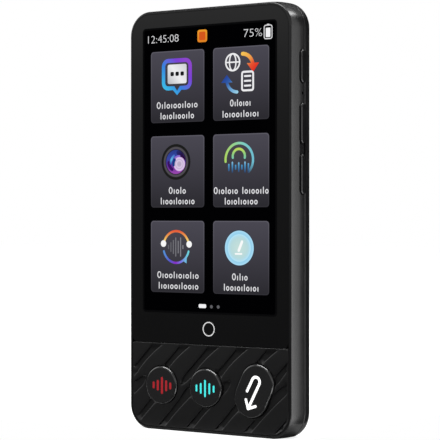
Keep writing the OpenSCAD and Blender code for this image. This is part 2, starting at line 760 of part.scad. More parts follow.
module key_board() color([0.05, 0.28, 0.15]) stand()
  difference() {
    plate(key_board_z, board_t)
      panel_outline(2 * key_board_half, key_board_low, key_board_high, 5, 1);
    block(-usb_w / 2 - 0.15, usb_w / 2 + 0.15, 0, usb_back() + 0.15, 0, body_d);
    for (p = key_posts) translate([p[0], p[1], 0]) cylinder(h = body_d, r = screw_hole_r);
  }

module key_domes() color("gold") stand()
  for (x = [left_key_x, right_key_x, back_key_x])
    translate([x, key_y, key_board_top]) rotate_extrude() dome_profile();

// Snap dome: a low cap whose top is flat where the nub meets it
module dome_profile()
  intersection() {
    square([dome_r, dome_h]);
    translate([0, dome_h - dome_sphere()]) circle(dome_sphere());
  }
function dome_sphere() = (dome_r * dome_r + dome_h * dome_h) / (2 * dome_h);

function usb_back() = 0.4 + usb_len;

module usb_port() color([0.8, 0.8, 0.82]) stand()
  translate([0, usb_back(), usb_z]) rotate([90, 0, 0]) difference() {
    linear_extrude(usb_len) slot_across(usb_w, usb_t);
    translate([0, 0, 0.6]) linear_extrude(usb_len) slot_across(usb_w - 0.6, usb_t - 0.6);
  }

module usb_tongue() color([0.1, 0.1, 0.1]) stand()
  translate([0, usb_back() - 0.6, usb_z]) rotate([90, 0, 0]) {
    linear_extrude(1.2) slot_across(usb_w - 0.6, usb_t - 0.6);
    linear_extrude(usb_len - 1.6) square([6.69, 0.7], center = true);
  }

module bottom_microphone() color([0.75, 0.72, 0.6]) stand()
  difference() {
    block(bottom_mic_x - mic_w / 2, bottom_mic_x + mic_w / 2, wall + 0.3, wall + 3.8,
          key_board_z - 1.6, key_board_z);
    translate([bottom_mic_x, 0, usb_z]) rotate([-90, 0, 0]) cylinder(h = wall + 1.2, r = mic_hole_r);
  }

module speaker() color([0.12, 0.12, 0.13]) stand() {
  z0 = floor_t + 0.3;
  difference() {
    translate([speaker_x, speaker_y, z0])
      linear_extrude(speaker_t) rounded_rect(speaker_w, speaker_h, 1.5);
    translate([speaker_x, speaker_y, z0 - cut])
      linear_extrude(0.4 + cut)
        rounded_rect(speaker_w - 2 * speaker_lip, speaker_h - 2 * speaker_lip, 1);
  }
}

module speaker_gasket() color([0.2, 0.2, 0.22]) stand()
  translate([speaker_x, speaker_y, floor_t]) linear_extrude(0.3) difference() {
    rounded_rect(speaker_w, speaker_h, 1.5);
    rounded_rect(speaker_w - 2 * speaker_lip, speaker_h - 2 * speaker_lip, 1);
  }

module speaker_mesh() color([0.3, 0.3, 0.32]) stand()
  translate([speaker_x, speaker_y, floor_t])
    linear_extrude(0.1)
      rounded_rect(speaker_w - 2 * (speaker_lip + fit), speaker_h - 2 * (speaker_lip + fit), 0.9);

module antenna_flex() color([0.7, 0.42, 0.12]) stand()
  round_block(-antenna_w, 0, body_h - corner_r - 1, body_h - rear_round, floor_t, floor_t + 0.15, 0.8);

module camera_module() color([0.08, 0.08, 0.09]) stand()
  translate([camera_x, camera_y, 0]) {
    barrel_z = floor_t + 0.1;
    base_z = max(main_board_z - 2.2, barrel_z + 0.9);
    round_block(-camera_base_w / 2, camera_base_w / 2, -camera_base_w / 2, camera_base_w / 2,
                base_z, plate_z, 0.6);
    translate([0, 0, barrel_z]) difference() {
      cylinder(h = base_z - barrel_z, r = camera_barrel_r);
      translate([0, 0, -cut]) cylinder(h = 0.6 + cut, r = camera_barrel_r - 0.7);
    }
  }

module camera_window() color([0.05, 0.05, 0.07]) stand()
  translate([camera_x, camera_y, 0.15]) cylinder(h = 0.75, r = camera_window_r);

module camera_ring() color([0.4, 0.4, 0.42]) stand()
  translate([camera_x, camera_y, 0]) rotate_extrude() difference() {
    translate([camera_window_r + 0.05, 0]) square([camera_ring_r - camera_window_r - 0.05, 0.9]);
    fillet_cutter(camera_ring_r, 0, 0.2, 1, -1);
  }

module flash_led() color([0.95, 0.9, 0.55]) stand()
  block(camera_x - 1.2, camera_x + 1.2, light_y - 1.2, light_y + 1.2, main_board_z - 0.8, main_board_z);

module flash_lens() color([0.95, 0.95, 0.9]) stand()
  translate([camera_x, light_y, 0]) {
    translate([0, 0, 0.1]) cylinder(h = main_board_z - 0.9 - 0.1, r = light_r);
    translate([0, 0, floor_t]) cylinder(h = 0.5, r = light_r + 0.7);
  }

module side_key_board() color([0.75, 0.45, 0.1]) stand()
  block(side_board_x - side_board_t, side_board_x, side_post_y[0] - 0.8, side_post_y[2] + 0.8,
        side_key_z - side_board_w / 2, side_key_z + side_board_w / 2);

module side_switches() color([0.7, 0.7, 0.72]) stand()
  for (k = side_keys) {
    block(side_board_x, side_board_x + switch_t - 0.3, k[0] - switch_len / 2, k[0] + switch_len / 2,
          side_key_z - switch_w / 2, side_key_z + switch_w / 2);
    translate([side_board_x + switch_t - 0.3, k[0], side_key_z]) rotate([0, 90, 0])
      cylinder(h = 0.3, r = 0.8);
  }

module side_microphone() color([0.75, 0.72, 0.6]) stand()
  difference() {
    block(side_board_x, inner_x - 0.1, side_mic_y - mic_w / 2, side_mic_y + mic_w / 2,
          side_key_z - 1.1, side_key_z + 1.1);
    translate([inner_x - 0.9, side_mic_y, side_key_z]) rotate([0, 90, 0])
      cylinder(h = wall, r = mic_hole_r);
  }

// ---- fasteners ------------------------------------------------------------

// A pan-head screw driven from behind: head below z, shank above it
module screw(z, shank) {
  difference() {
    translate([0, 0, z - screw_head_t]) cylinder(h = screw_head_t, r = screw_head_r);
    translate([0, 0, z - screw_head_t - cut]) cylinder(h = 0.3 + cut, r = 0.55, $fn = 6);
  }
  translate([0, 0, z]) cylinder(h = shank, r = screw_r);
}

module board_screws() color("silver") stand()
  for (p = board_pads) translate([p[0], p[1], 0]) screw(main_board_z, board_t + boss_t + plate_t - fit);

module plate_screws() color("silver") stand()
  for (p = plate_pads) translate([p[0], p[1], 0]) screw(plate_z - boss_t, boss_t + plate_t - fit);

module key_board_screws() color("silver") stand()
  for (p = key_posts) translate([p[0], p[1], 0]) screw(key_board_z, board_t + 1.1);

// ---- keys -----------------------------------------------------------------

// Half section of a front key: cap with a rounded rim, and the flange that keeps it in
module key_profile() {
  translate([0, key_flange_z]) square([key_r + key_flange_w, key_flange_t]);
  difference() {
    translate([0, key_flange_z]) square([key_r, body_d + key_proud - key_flange_z]);
    fillet_cutter(key_r, body_d + key_proud, key_rim, 1, 1);
  }
}

module key_nub() translate([0, 0, key_flange_z - key_nub_h]) cylinder(h = key_nub_h + fit, r = 1.6);

module round_key(x) translate([x, key_y, 0]) {
  rotate_extrude() key_profile();
  key_nub();
}

module left_speak_key() color([0.11, 0.11, 0.12]) stand() round_key(left_key_x);

module right_speak_key() color([0.11, 0.11, 0.12]) stand() round_key(right_key_x);

module back_key() color([0.11, 0.11, 0.12]) stand()
  translate([back_key_x, key_y, 0]) {
    rotate(-back_key_lean) slot_sweep(back_key_reach) key_profile();
    key_nub();
  }

// Half section of a side key, from its flange outwards
module side_key_profile() {
  reach = half_w + crown_at(side_key_z) + side_key_proud - side_flange_x;
  square([side_key_w / 2 + side_flange_w, side_flange_t]);
  difference() {
    square([side_key_w / 2, reach]);
    fillet_cutter(side_key_w / 2, reach, 0.35, 1, 1);
  }
}

module side_key(y, length)
  translate([side_flange_x, y, side_key_z]) rotate([0, 90, 0]) {
    slot_sweep((length - side_key_w) / 2) side_key_profile();
    translate([0, 0, -side_nub_h]) cylinder(h = side_nub_h + fit, r = 0.9);
  }

module power_key() color([0.16, 0.16, 0.17]) stand() side_key(power_y, power_len);

module volume_up_key() color([0.16, 0.16, 0.17]) stand() side_key(volume_up_y, volume_len);

module volume_down_key() color([0.16, 0.16, 0.17]) stand() side_key(volume_down_y, volume_len);

mid_frame();
rear_cover();
front_panel();
front_glass();
glass_tape();
lcd_cell();
backlight_unit();
display_flex();
chassis_plate();
main_board();
processor_shield();
radio_shield();
flex_connectors();
battery();
battery_tape();
battery_lead();
link_flex();
key_board();
key_domes();
usb_port();
usb_tongue();
bottom_microphone();
speaker();
speaker_gasket();
speaker_mesh();
antenna_flex();
camera_module();
camera_window();
camera_ring();
flash_led();
flash_lens();
side_key_board();
side_switches();
side_microphone();
board_screws();
plate_screws();
key_board_screws();
left_speak_key();
right_speak_key();
back_key();
power_key();
volume_up_key();
volume_down_key();
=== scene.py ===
"""Dresses a handheld translator: finishes, key panel, legends, lit screen and a small studio."""

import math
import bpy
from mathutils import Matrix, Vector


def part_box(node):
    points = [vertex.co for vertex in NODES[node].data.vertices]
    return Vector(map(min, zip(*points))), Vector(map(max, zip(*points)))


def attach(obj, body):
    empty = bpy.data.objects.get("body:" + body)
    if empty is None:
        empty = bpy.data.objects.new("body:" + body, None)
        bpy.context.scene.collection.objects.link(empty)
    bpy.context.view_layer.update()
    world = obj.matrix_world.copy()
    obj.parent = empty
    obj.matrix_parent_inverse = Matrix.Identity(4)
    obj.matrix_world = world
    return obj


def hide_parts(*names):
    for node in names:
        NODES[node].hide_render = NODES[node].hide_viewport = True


bl_info = {
    "name": "Handheld Translator Dressing",
    "version": (1, 0, 0),
    "blender": (4, 5, 0),
    "location": "3D View > Sidebar > Translator",
    "description": "Finishes, ribbed key panel, key legends, lit menu and studio of a handheld translator",
    "category": "Object",
}

import bmesh
import bpy
from bpy.props import FloatProperty, FloatVectorProperty, PointerProperty
from mathutils import Vector
from mathutils.geometry import delaunay_2d_cdt

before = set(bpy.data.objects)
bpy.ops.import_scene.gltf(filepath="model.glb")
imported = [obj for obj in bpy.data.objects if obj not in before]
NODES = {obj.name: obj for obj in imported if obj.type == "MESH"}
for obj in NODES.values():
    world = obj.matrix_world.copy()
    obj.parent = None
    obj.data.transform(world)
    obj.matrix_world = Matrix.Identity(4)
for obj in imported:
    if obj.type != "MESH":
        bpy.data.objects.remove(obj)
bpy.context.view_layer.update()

MM = 0.001
GLASS_LOW, GLASS_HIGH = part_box("front_glass")
PANEL_LOW, PANEL_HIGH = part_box("front_panel")
CELL_LOW, CELL_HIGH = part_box("lcd_cell")
FRONT_Y = GLASS_LOW.y     # the glass's front face; the front looks towards -Y

LAYER = 0.02 * MM         # thickness of a printed or lit shape on the glass or on a key
WELD = 1e-8               # points closer than this are one point
CORNER_STEPS = 6          # straight stretches in a rounded corner
CELL_BORDER = 1.3 * MM    # blind border of the display's cell at its sides and top
CELL_FOOT = 4.2 * MM      # and at its bottom
PANEL_FOOT_R = 6.2 * MM   # lower corners of the key panel
PANEL_TOP_R = 0.8 * MM    # and its upper corners
GRAIN = 0.16 * MM         # size of the grains of moulded plastic
GRAIN_DEPTH = 0.004 * MM  # and their depth


# ---- sizes and colours -------------------------------------------------------------------

def length(name, description, millimetres):
    return FloatProperty(name=name, description=description, default=millimetres * MM, unit="LENGTH",
                         subtype="DISTANCE", precision=5)


def colour(name, description, rgb):
    return FloatVectorProperty(name=name, description=description, default=rgb, size=3, min=0, max=1,
                               subtype="COLOR")


def share(name, description, value):
    return FloatProperty(name=name, description=description, default=value, min=0, max=1, subtype="FACTOR")


def brightness(name, description, value):
    return FloatProperty(name=name, description=description, default=value, min=0)


def seen(r, g, b):
    """Linear colour of a screen colour given from 0 to 255."""
    def linear(v):
        v /= 255
        return v / 12.92 if v <= 0.04045 else ((v + 0.055) / 1.055) ** 2.4
    return (linear(r), linear(g), linear(b))


def mm(*values):
    return tuple(v * MM for v in values)


class TranslatorFinish(bpy.types.PropertyGroup):
    frame_colour: colour("Frame", "Moulded colour of the mid frame", (0.0045, 0.0045, 0.0048))
    rear_colour: colour("Rear cover", "Moulded colour of the rear cover", (0.0035, 0.0035, 0.0038))
    panel_colour: colour("Key panel", "Moulded colour of the ribbed key panel", (0.0035, 0.0035, 0.0038))
    key_colour: colour("Front keys", "Moulded colour of the front keys", (0.0075, 0.0075, 0.0079))
    side_key_colour: colour("Side keys", "Moulded colour of the side keys", (0.0035, 0.0035, 0.0038))
    glass_colour: colour("Glass", "Black print behind the front glass", (0.0022, 0.0022, 0.0024))
    frame_roughness: share("Frame roughness", "Roughness of the mid frame", 0.2)
    panel_roughness: share("Panel roughness", "Roughness of the key panel", 0.31)
    key_roughness: share("Key roughness", "Roughness of the front keys", 0.13)
    glass_roughness: share("Glass roughness", "Roughness of the front glass", 0.09)


class KeyPanelRelief(bpy.types.PropertyGroup):
    depth: length("Groove depth", "Depth of the wavy grooves", 0.55)
    pitch: length("Pitch", "Distance from groove to groove, across", 10.35)
    upper_width: length("Upper width", "Width of the upper grooves where they start", 3.9)
    lower_width: length("Lower width", "Width of the lower grooves where they start", 2.6)
    upper_length: length("Upper length", "Height that an upper groove runs down", 12)
    lower_length: length("Lower length", "Height that a lower groove runs up", 15)
    wall: length("Wall", "Width of a groove's sloping side", 0.1)
    lip: length("Lip", "Rounding along a groove's edges", 0.16)
    right_slope: share("Right slope", "Steepness of a groove's right side beside its left side", 0.5)
    top_slope: share("Top slope", "Steepness of a groove's end below the glass", 0.7)
    side_border: length("Side border", "Plain border at the sides and bottom", 0.5)
    top_border: length("Top border", "Plain border below the glass", 0.45)
    edge_round: length("Edge rounding", "Rounding of the panel's edges and key holes", 0.14)
    key_gap: length("Key gap", "Gap between a key and its hole", 0.15)
    key_flange: length("Key flange", "Width of a key's hidden flange beyond its cap", 0.7)


class ScreenLayout(bpy.types.PropertyGroup):
    tile_width: length("Tile width", "Width of a menu tile", 19.7)
    tile_height: length("Tile height", "Height of a menu tile", 21.45)
    tile_round: length("Tile corners", "Corner radius of a menu tile", 0.95)
    column_left: length("Left column", "Place of the left column's middle, across", -11.23)
    column_right: length("Right column", "Place of the right column's middle, across", 11.7)
    row_top: length("Top row", "Height of the top row's middle", 103.0)
    row_pitch: length("Row pitch", "Distance from row to row", 25.45)
    caption_x_height: length("Caption height", "Height of the low strokes of a caption", 1.38)
    glow: brightness("Glow", "Brightness of the lit screen", 1.0)
    tile_top: colour("Tile top", "Tile colour at its top", seen(74, 72, 82))
    tile_bottom: colour("Tile bottom", "Tile colour at its bottom", seen(43, 42, 47))
    caption_colour: colour("Captions", "Colour of the captions", seen(226, 226, 229))


class KeyLegends(bpy.types.PropertyGroup):
    bar_pitch: length("Bar pitch", "Distance between the bars of a speak legend", 1.55)
    bar_width: length("Bar width", "Width of those bars", 0.64)
    arrow_length: length("Arrow length", "Length of the back legend", 9.6)
    arrow_lean: FloatProperty(name="Arrow lean", description="Slant of the back legend from horizontal",
                              default=math.radians(62), subtype="ANGLE")
    left_colour: colour("Left legend", "Colour of the left speak key's legend", seen(152, 24, 33))
    right_colour: colour("Right legend", "Colour of the right speak key's legend", seen(62, 212, 209))
    back_colour: colour("Back legend", "Colour of the back key's legend", seen(240, 240, 240))


class StudioSettings(bpy.types.PropertyGroup):
    lens: FloatProperty(name="Lens", description="Focal length of the camera", default=144.25, min=1,
                        subtype="DISTANCE_CAMERA")
    camera_turn: FloatProperty(name="Camera turn", description="Turn of the camera about the device",
                               default=math.radians(34.83), subtype="ANGLE")
    camera_place: FloatVectorProperty(name="Camera place", description="Where the camera stands", size=3,
                                      default=(0.30035, -0.43102, 0.0639), subtype="TRANSLATION")
    fill: brightness("Fill", "Level of the even light from all round", 0.5)
    side_light: brightness("Side light", "Radiance of the softbox at the right", 2.0)
    corner_light: brightness("Corner light", "Radiance of the softbox at the upper right", 3.0)
    left_light: brightness("Left light", "Radiance of the softbox at the left", 1.0)
    top_light: brightness("Top light", "Radiance of the softbox overhead", 10.5)


# ---- materials ---------------------------------------------------------------------------

def material(name):
    """A new material, its nodes and its shader."""
    made = bpy.data.materials.new(name)
    made.use_nodes = True
    return made, made.node_tree, made.node_tree.nodes["Principled BSDF"]


def feed(made, sockets):
    """Sets the inputs of a node, by name or number, or links them where an output is given."""
    for key, value in sockets.items():
        if isinstance(value, bpy.types.NodeSocket):
            made.id_data.links.new(value, made.inputs[key])
        else:
            made.inputs[key].default_value = value


def node(tree, kind, sockets=None, **settings):
    made = tree.nodes.new(kind)
    for key, value in settings.items():
        setattr(made, key, value)
    feed(made, sockets or {})
    return made


def noise(tree, spot, detail):
    """Noise over the piece, with spots of the size spot. It mostly lies at 0.3 to 0.7."""
    place = node(tree, "ShaderNodeTexCoord").outputs["Object"]
    made = node(tree, "ShaderNodeTexNoise", {"Vector": place, "Scale": 1 / spot, "Detail": detail})
    return made.outputs["Fac"]


def spread(tree, value, low, high):
    """Carries noise on to low to high."""
    made = node(tree, "ShaderNodeMapRange", {"Value": value, "From Min": 0.3, "From Max": 0.7,
                                             "To Min": low, "To Max": high})
    return made.outputs["Result"]


def set_ramp(ramp, stops):
    """Gives a colour ramp its stops: share of the way and colour."""
    elements = ramp.color_ramp.elements
    while len(elements) < len(stops):
        elements.new(0.5)
    for element, (way, rgb) in zip(elements, stops):
        element.position = way
        element.color = (*rgb, 1)


def tinted(tree, value, rgb, change):
    """The colour rgb, made a little darker or lighter by noise."""
    ramp = node(tree, "ShaderNodeValToRGB", {"Fac": value})
    set_ramp(ramp, [(0.3, [c * (1 - change) for c in rgb]), (0.7, [c * (1 + change) for c in rgb])])
    return ramp.outputs["Color"]


def moulded_plastic(name, rgb, roughness, shine=0.5, coat=0.0):
    """Spark-textured plastic: fine grain, slow changes of gloss, a little change of colour."""
    made, tree, shader = material(name)
    slow = noise(tree, 9 * MM, 3)
    fine = noise(tree, GRAIN, 2)
    bump = node(tree, "ShaderNodeBump", {"Height": fine, "Distance": GRAIN_DEPTH, "Strength": 0.6})
    feed(shader, {"Base Color": tinted(tree, fine, rgb, 0.12),
                  "Roughness": spread(tree, slow, roughness - 0.02, roughness + 0.02),
                  "Normal": bump.outputs["Normal"], "Specular IOR Level": shine,
                  "Coat Weight": coat, "Coat Roughness": 0.12})
    return made


def polished_glass(name, rgb, roughness, coat=0.0):
    """Black-printed or dark glass with the faintest smear."""
    made, tree, shader = material(name)
    smear = noise(tree, 16 * MM, 3)
    feed(shader, {"Base Color": tinted(tree, smear, rgb, 0.08),
                  "Roughness": spread(tree, smear, roughness - 0.01, roughness + 0.01),
                  "Coat Weight": coat, "Coat Roughness": 0.03})
    return made


def worked_metal(name, rgb, roughness, brushed=(1, 1, 1)):
    """Metal with fine marks, which brushed draws out."""
    made, tree, shader = material(name)
    place = node(tree, "ShaderNodeTexCoord").outputs["Object"]
    stretch = node(tree, "ShaderNodeMapping", {"Vector": place, "Scale": brushed})
    marks = node(tree, "ShaderNodeTexNoise", {"Vector": stretch.outputs["Vector"],
                                              "Scale": 1 / (0.3 * MM), "Detail": 3}).outputs["Fac"]
    feed(shader, {"Base Color": tinted(tree, marks, rgb, 0.08),
                  "Roughness": spread(tree, marks, roughness - 0.05, roughness + 0.06), "Metallic": 1.0})
    return made


def flecked(name, rgb, roughness, spot, change=0.15, shine=0.5):
    """Board, foam, film, foil and cloth: a colour with spots of its own size."""
    made, tree, shader = material(name)
    spots = noise(tree, spot, 4)
    feed(shader, {"Base Color": tinted(tree, spots, rgb, change),
                  "Roughness": spread(tree, spots, roughness - 0.06, roughness + 0.06),
                  "Specular IOR Level": shine})
    return made


def printed(name, rgb, glow):
    """Ink on a key or the glass, with light behind it."""
    made, tree, shader = material(name)
    ink = tinted(tree, noise(tree, 0.4 * MM, 2), rgb, 0.05)
    feed(shader, {"Base Color": ink, "Emission Color": ink, "Emission Strength": glow,
                  "Roughness": 0.45, "Specular IOR Level": 0.3})
    return made


def lit(name, stops, start=None, end=None, centre=None, radius=None):
    """Light of the screen, which changes along a line from start to end, or outwards from a centre,
    all (x, z). stops are (share of the way, colour)."""
    made, tree, shader = material(name)
    place = node(tree, "ShaderNodeTexCoord").outputs["Object"]
    if centre is None:
        run = Vector((end[0] - start[0], 0, end[1] - start[1]))
        away = node(tree, "ShaderNodeVectorMath", {0: place, 1: (start[0], 0, start[1])},
                    operation="SUBTRACT")
        way = node(tree, "ShaderNodeVectorMath", {0: away.outputs["Vector"], 1: run / run.length_squared},
                   operation="DOT_PRODUCT")
    else:
        flat = node(tree, "ShaderNodeVectorMath", {0: place, 1: (1 / radius, 0, 1 / radius)},
                    operation="MULTIPLY")
        middle = (centre[0] / radius, 0, centre[1] / radius)
        way = node(tree, "ShaderNodeVectorMath", {0: flat.outputs["Vector"], 1: middle},
                   operation="DISTANCE")
    ramp = node(tree, "ShaderNodeValToRGB", {"Fac": way.outputs["Value"]})
    set_ramp(ramp, stops)
    feed(shader, {"Emission Color": ramp.outputs["Color"], "Base Color": (0, 0, 0, 1), "Roughness": 0.5,
                  "Emission Strength": bpy.context.scene.screen_layout.glow, "Specular IOR Level": 0.0})
    return made


def seen_stops(rows):
    """Stops from rows of share of the way and screen colour."""
    return [(way, seen(*rgb)) for way, *rgb in rows]


def lit_along(name, start, end, *rows):
    """Light in bands across the way from start to end."""
    return lit(name, seen_stops(rows), start=start, end=end)


def lit_round(name, centre, radius, *rows):
    """Light in rings, out to radius."""
    return lit(name, seen_stops(rows), centre=centre, radius=radius)


def even_light(name, rgb):
    """Light with the faint fall-off from middle to rim that a backlight has."""
    middle = (0, (GLASS_LOW.z + GLASS_HIGH.z) / 2)
    return lit(name, [(0, rgb), (1, [c * 0.96 for c in rgb])], centre=middle, radius=60 * MM)


def dress(made, *names):
    """Gives CAD nodes a material."""
    for name in names:
        mesh = NODES[name].data
        mesh.materials.clear()
        mesh.materials.append(made)


# ---- flat shapes -------------------------------------------------------------------------

def around(centre, radius, start=0.0, end=360.0, steps=48):
    """Points (x, z) on an arc; angles in degrees, 0 to the right and 90 up."""
    closed = abs(end - start) >= 360
    count = steps if closed else steps + 1
    turns = [math.radians(start + (end - start) * i / steps) for i in range(count)]
    return [(centre[0] + radius * math.cos(t), centre[1] + radius * math.sin(t)) for t in turns]


def rounded(centre, width, height, radius):
    """Outline of a rectangle with round corners."""
    points = []
    for i, (sx, sz) in enumerate(((1, -1), (1, 1), (-1, 1), (-1, -1))):
        corner = (centre[0] + sx * (width / 2 - radius), centre[1] + sz * (height / 2 - radius))
        points += around(corner, radius, 90 * i - 90, 90 * i, CORNER_STEPS)
    return points


def level(step):
    """Front face of the glass, raised by so many layers."""
    return FRONT_Y - step * LAYER


class Flat:
    """Thin shapes on a front face, gathered into one closed mesh."""

    def __init__(self, y):
        self.mesh = bmesh.new()
        self.y_back = y
        self.y_front = y - LAYER

    def column(self, point):
        return [self.mesh.verts.new((point[0], y, point[1])) for y in (self.y_front, self.y_back)]

    def plate(self, outline, finish=0):
        """A filled convex outline."""
        columns = [self.column(p) for p in outline]
        faces = [[c[0] for c in columns], [c[1] for c in reversed(columns)]]
        for a, b in zip(columns, columns[1:] + columns[:1]):
            faces.append([a[0], a[1], b[1], b[0]])
        for corners in faces:
            self.mesh.faces.new(corners).material_index = finish

    def disc(self, centre, radius, finish=0, steps=32):
        self.plate(around(centre, radius, steps=steps), finish)

    def stroke(self, path, width, finish=0, closed=False, ends=5):
        """A line with round ends, or a closed loop."""
        half = width / 2
        path = [Vector(p) for p in path]
        stations = []
        for i, p in enumerate(path):
            before = path[i - 1] if i or closed else p
            after = path[(i + 1) % len(path)] if closed or i + 1 < len(path) else p
            run = (after - before).normalized()
            stations.append((p, Vector((-run.y, run.x)), run, half))
        if not closed:
            first, last = stations[0], stations[-1]
            turns = [math.pi / 2 * k / ends for k in range(ends)]
            start = [(first[0] - first[2] * half * math.cos(t), first[1], first[2], half * math.sin(t))
                     for t in turns]
            end = [(last[0] + last[2] * half * math.cos(t), last[1], last[2], half * math.sin(t))
                   for t in reversed(turns)]
            stations = start + stations + end
        rails = [(self.column(p + side * r), self.column(p - side * r)) for p, side, _, r in stations]
        pairs = list(zip(rails, rails[1:] + rails[:1] if closed else rails[1:]))
        for (a, b), (c, d) in pairs:
            for corners in ([a[0], b[0], d[0], c[0]], [a[1], c[1], d[1], b[1]],
                            [a[0], c[0], c[1], a[1]], [b[0], b[1], d[1], d[0]]):
                self.mesh.faces.new(corners).material_index = finish

    def ring(self, centre, radius, width):
        self.stroke(around(centre, radius), width, closed=True)

    def arc(self, centre, radius, width, start, end, finish=0, steps=28):
        self.stroke(around(centre, radius, start, end, steps), width, finish)

    def finish(self, name, finishes, body, slot):
        """Closes the mesh and makes it a piece that rides on body."""
        bmesh.ops.remove_doubles(self.mesh, verts=self.mesh.verts, dist=WELD)
        bmesh.ops.dissolve_degenerate(self.mesh, edges=self.mesh.edges, dist=WELD)
        bmesh.ops.recalc_face_normals(self.mesh, faces=self.mesh.faces)
        return piece(name, self.mesh, finishes, body)

    def show(self, name, *finishes):
        """Makes it a piece of the lit screen."""
        return self.finish(name, finishes, "chassis", "display")


def linked(name, mesh, finishes):
    """A new object in the scene, made of a mesh under way, which is freed."""
    data = bpy.data.meshes.new(name)
    mesh.to_mesh(data)
    mesh.free()
    for finish in finishes:
        data.materials.append(finish)
    made = bpy.data.objects.new(name, data)
    bpy.context.scene.collection.objects.link(made)
    return made


def piece(name, mesh, finishes, body):
    """A visible piece that rides on body."""
    made = linked(name, mesh, finishes)
    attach(made, body)
    return made


# ---- housing -----------------------------------------------------------------------------

class FinishHousing(bpy.types.Operator):
    """Moulded plastic for the mid frame and the rear cover"""
    bl_idname = "translator.finish_housing"
    bl_label = "Finish the Housing"

    def execute(self, context):
        look = context.scene.translator_finish
        dress(moulded_plastic("frame_plastic", look.frame_colour, look.frame_roughness), "mid_frame")
        dress(moulded_plastic("rear_plastic", look.rear_colour, 0.2, shine=0.4), "rear_cover")
        return {"FINISHED"}


class FinishGlass(bpy.types.Operator):
    """Black-printed front glass"""
    bl_idname = "translator.finish_glass"
    bl_label = "Finish the Front Glass"

    def execute(self, context):
        look = context.scene.translator_finish
        dress(polished_glass("front_glass_black", look.glass_colour, look.glass_roughness), "front_glass")
        return {"FINISHED"}


# ---- key panel ---------------------------------------------------------------------------

def centre_of(name):
    """Middle of a CAD node, seen from the front."""
    low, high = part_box(name)
    return ((low.x + high.x) / 2, (low.z + high.z) / 2)


def key_holes(relief):
    """Each front key's hole: centre, vector from the middle to an end's centre, radius."""
    low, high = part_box("left_speak_key")
    flange_r = (high.x - low.x) / 2
    hole_r = flange_r - relief.key_flange + relief.key_gap
    holes = [(centre_of(n), (0.0, 0.0), hole_r) for n in ("left_speak_key", "right_speak_key")]
    low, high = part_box("back_key")
    reach = ((high.x - low.x) / 2 - flange_r, (high.z - low.z) / 2 - flange_r)
    return holes + [(centre_of("back_key"), reach, hole_r)]


def hole_distance(point, hole):
    """Distance from a point to the rim of a hole, positive outside it."""
    centre, reach, radius = hole
    p = Vector((point[0] - centre[0], point[1] - centre[1]))
    axis = Vector(reach)
    if axis.length > 0:
        along = max(-1.0, min(1.0, p.dot(axis) / axis.length_squared))
        p -= axis * along
    return p.length - radius


def hole_loop(hole, grow):
    """The rim of a hole, moved outwards."""
    centre, reach, radius = hole
    axis = Vector(reach)
    steps = 72
    if axis.length == 0:
        return around(centre, radius + grow, steps=steps)
    turn = math.degrees(math.atan2(axis.y, axis.x))
    half = steps // 2
    far = around((centre[0] + axis.x, centre[1] + axis.y), radius + grow, turn - 90, turn + 90, half)
    near = around((centre[0] - axis.x, centre[1] - axis.y), radius + grow, turn + 90, turn + 270, half)
    return far + near


def panel_distance(point):
    """How far a point lies inside the panel's outline."""
    x = abs(point[0])
    right, bottom, top = PANEL_HIGH.x, PANEL_LOW.z, PANEL_HIGH.z
    nearest = min(right - x, point[1] - bottom, top - point[1])
    for r, cz, sign in ((PANEL_FOOT_R, bottom + PANEL_FOOT_R, -1), (PANEL_TOP_R, top - PANEL_TOP_R, 1)):
        dx, dz = x - (right - r), sign * (point[1] - cz)
        if dx > 0 and dz > 0:
            nearest = min(nearest, r - math.hypot(dx, dz))
    return nearest


def rim_distance(point, holes):
    """How far a point of the panel lies from its outline and its holes; negative off the panel."""
    return min(panel_distance(point), *(hole_distance(point, hole) for hole in holes))


def panel_loop(inset):
    """The panel's outline, moved inwards."""
    least = 0.05 * MM
    low_r, high_r = PANEL_FOOT_R - inset, max(PANEL_TOP_R - inset, least)
    right, bottom, top = PANEL_HIGH.x - inset, PANEL_LOW.z + inset, PANEL_HIGH.z - inset
    points = around((right - low_r, bottom + low_r), low_r, -90, 0, 20)
    points += around((right - high_r, top - high_r), high_r, 0, 90, 8)
    points += around((-right + high_r, top - high_r), high_r, 90, 180, 8)
    points += around((-right + low_r, bottom + low_r), low_r, 180, 270, 20)
    return points


def subdivided(loop, step):
    """A closed loop with no stretch longer than step."""
    points = []
    for a, b in zip(loop, loop[1:] + loop[:1]):
        count = max(1, math.ceil(math.dist(a, b) / step))
        points += [(a[0] + (b[0] - a[0]) * i / count, a[1] + (b[1] - a[1]) * i / count)
                   for i in range(count)]
    return points


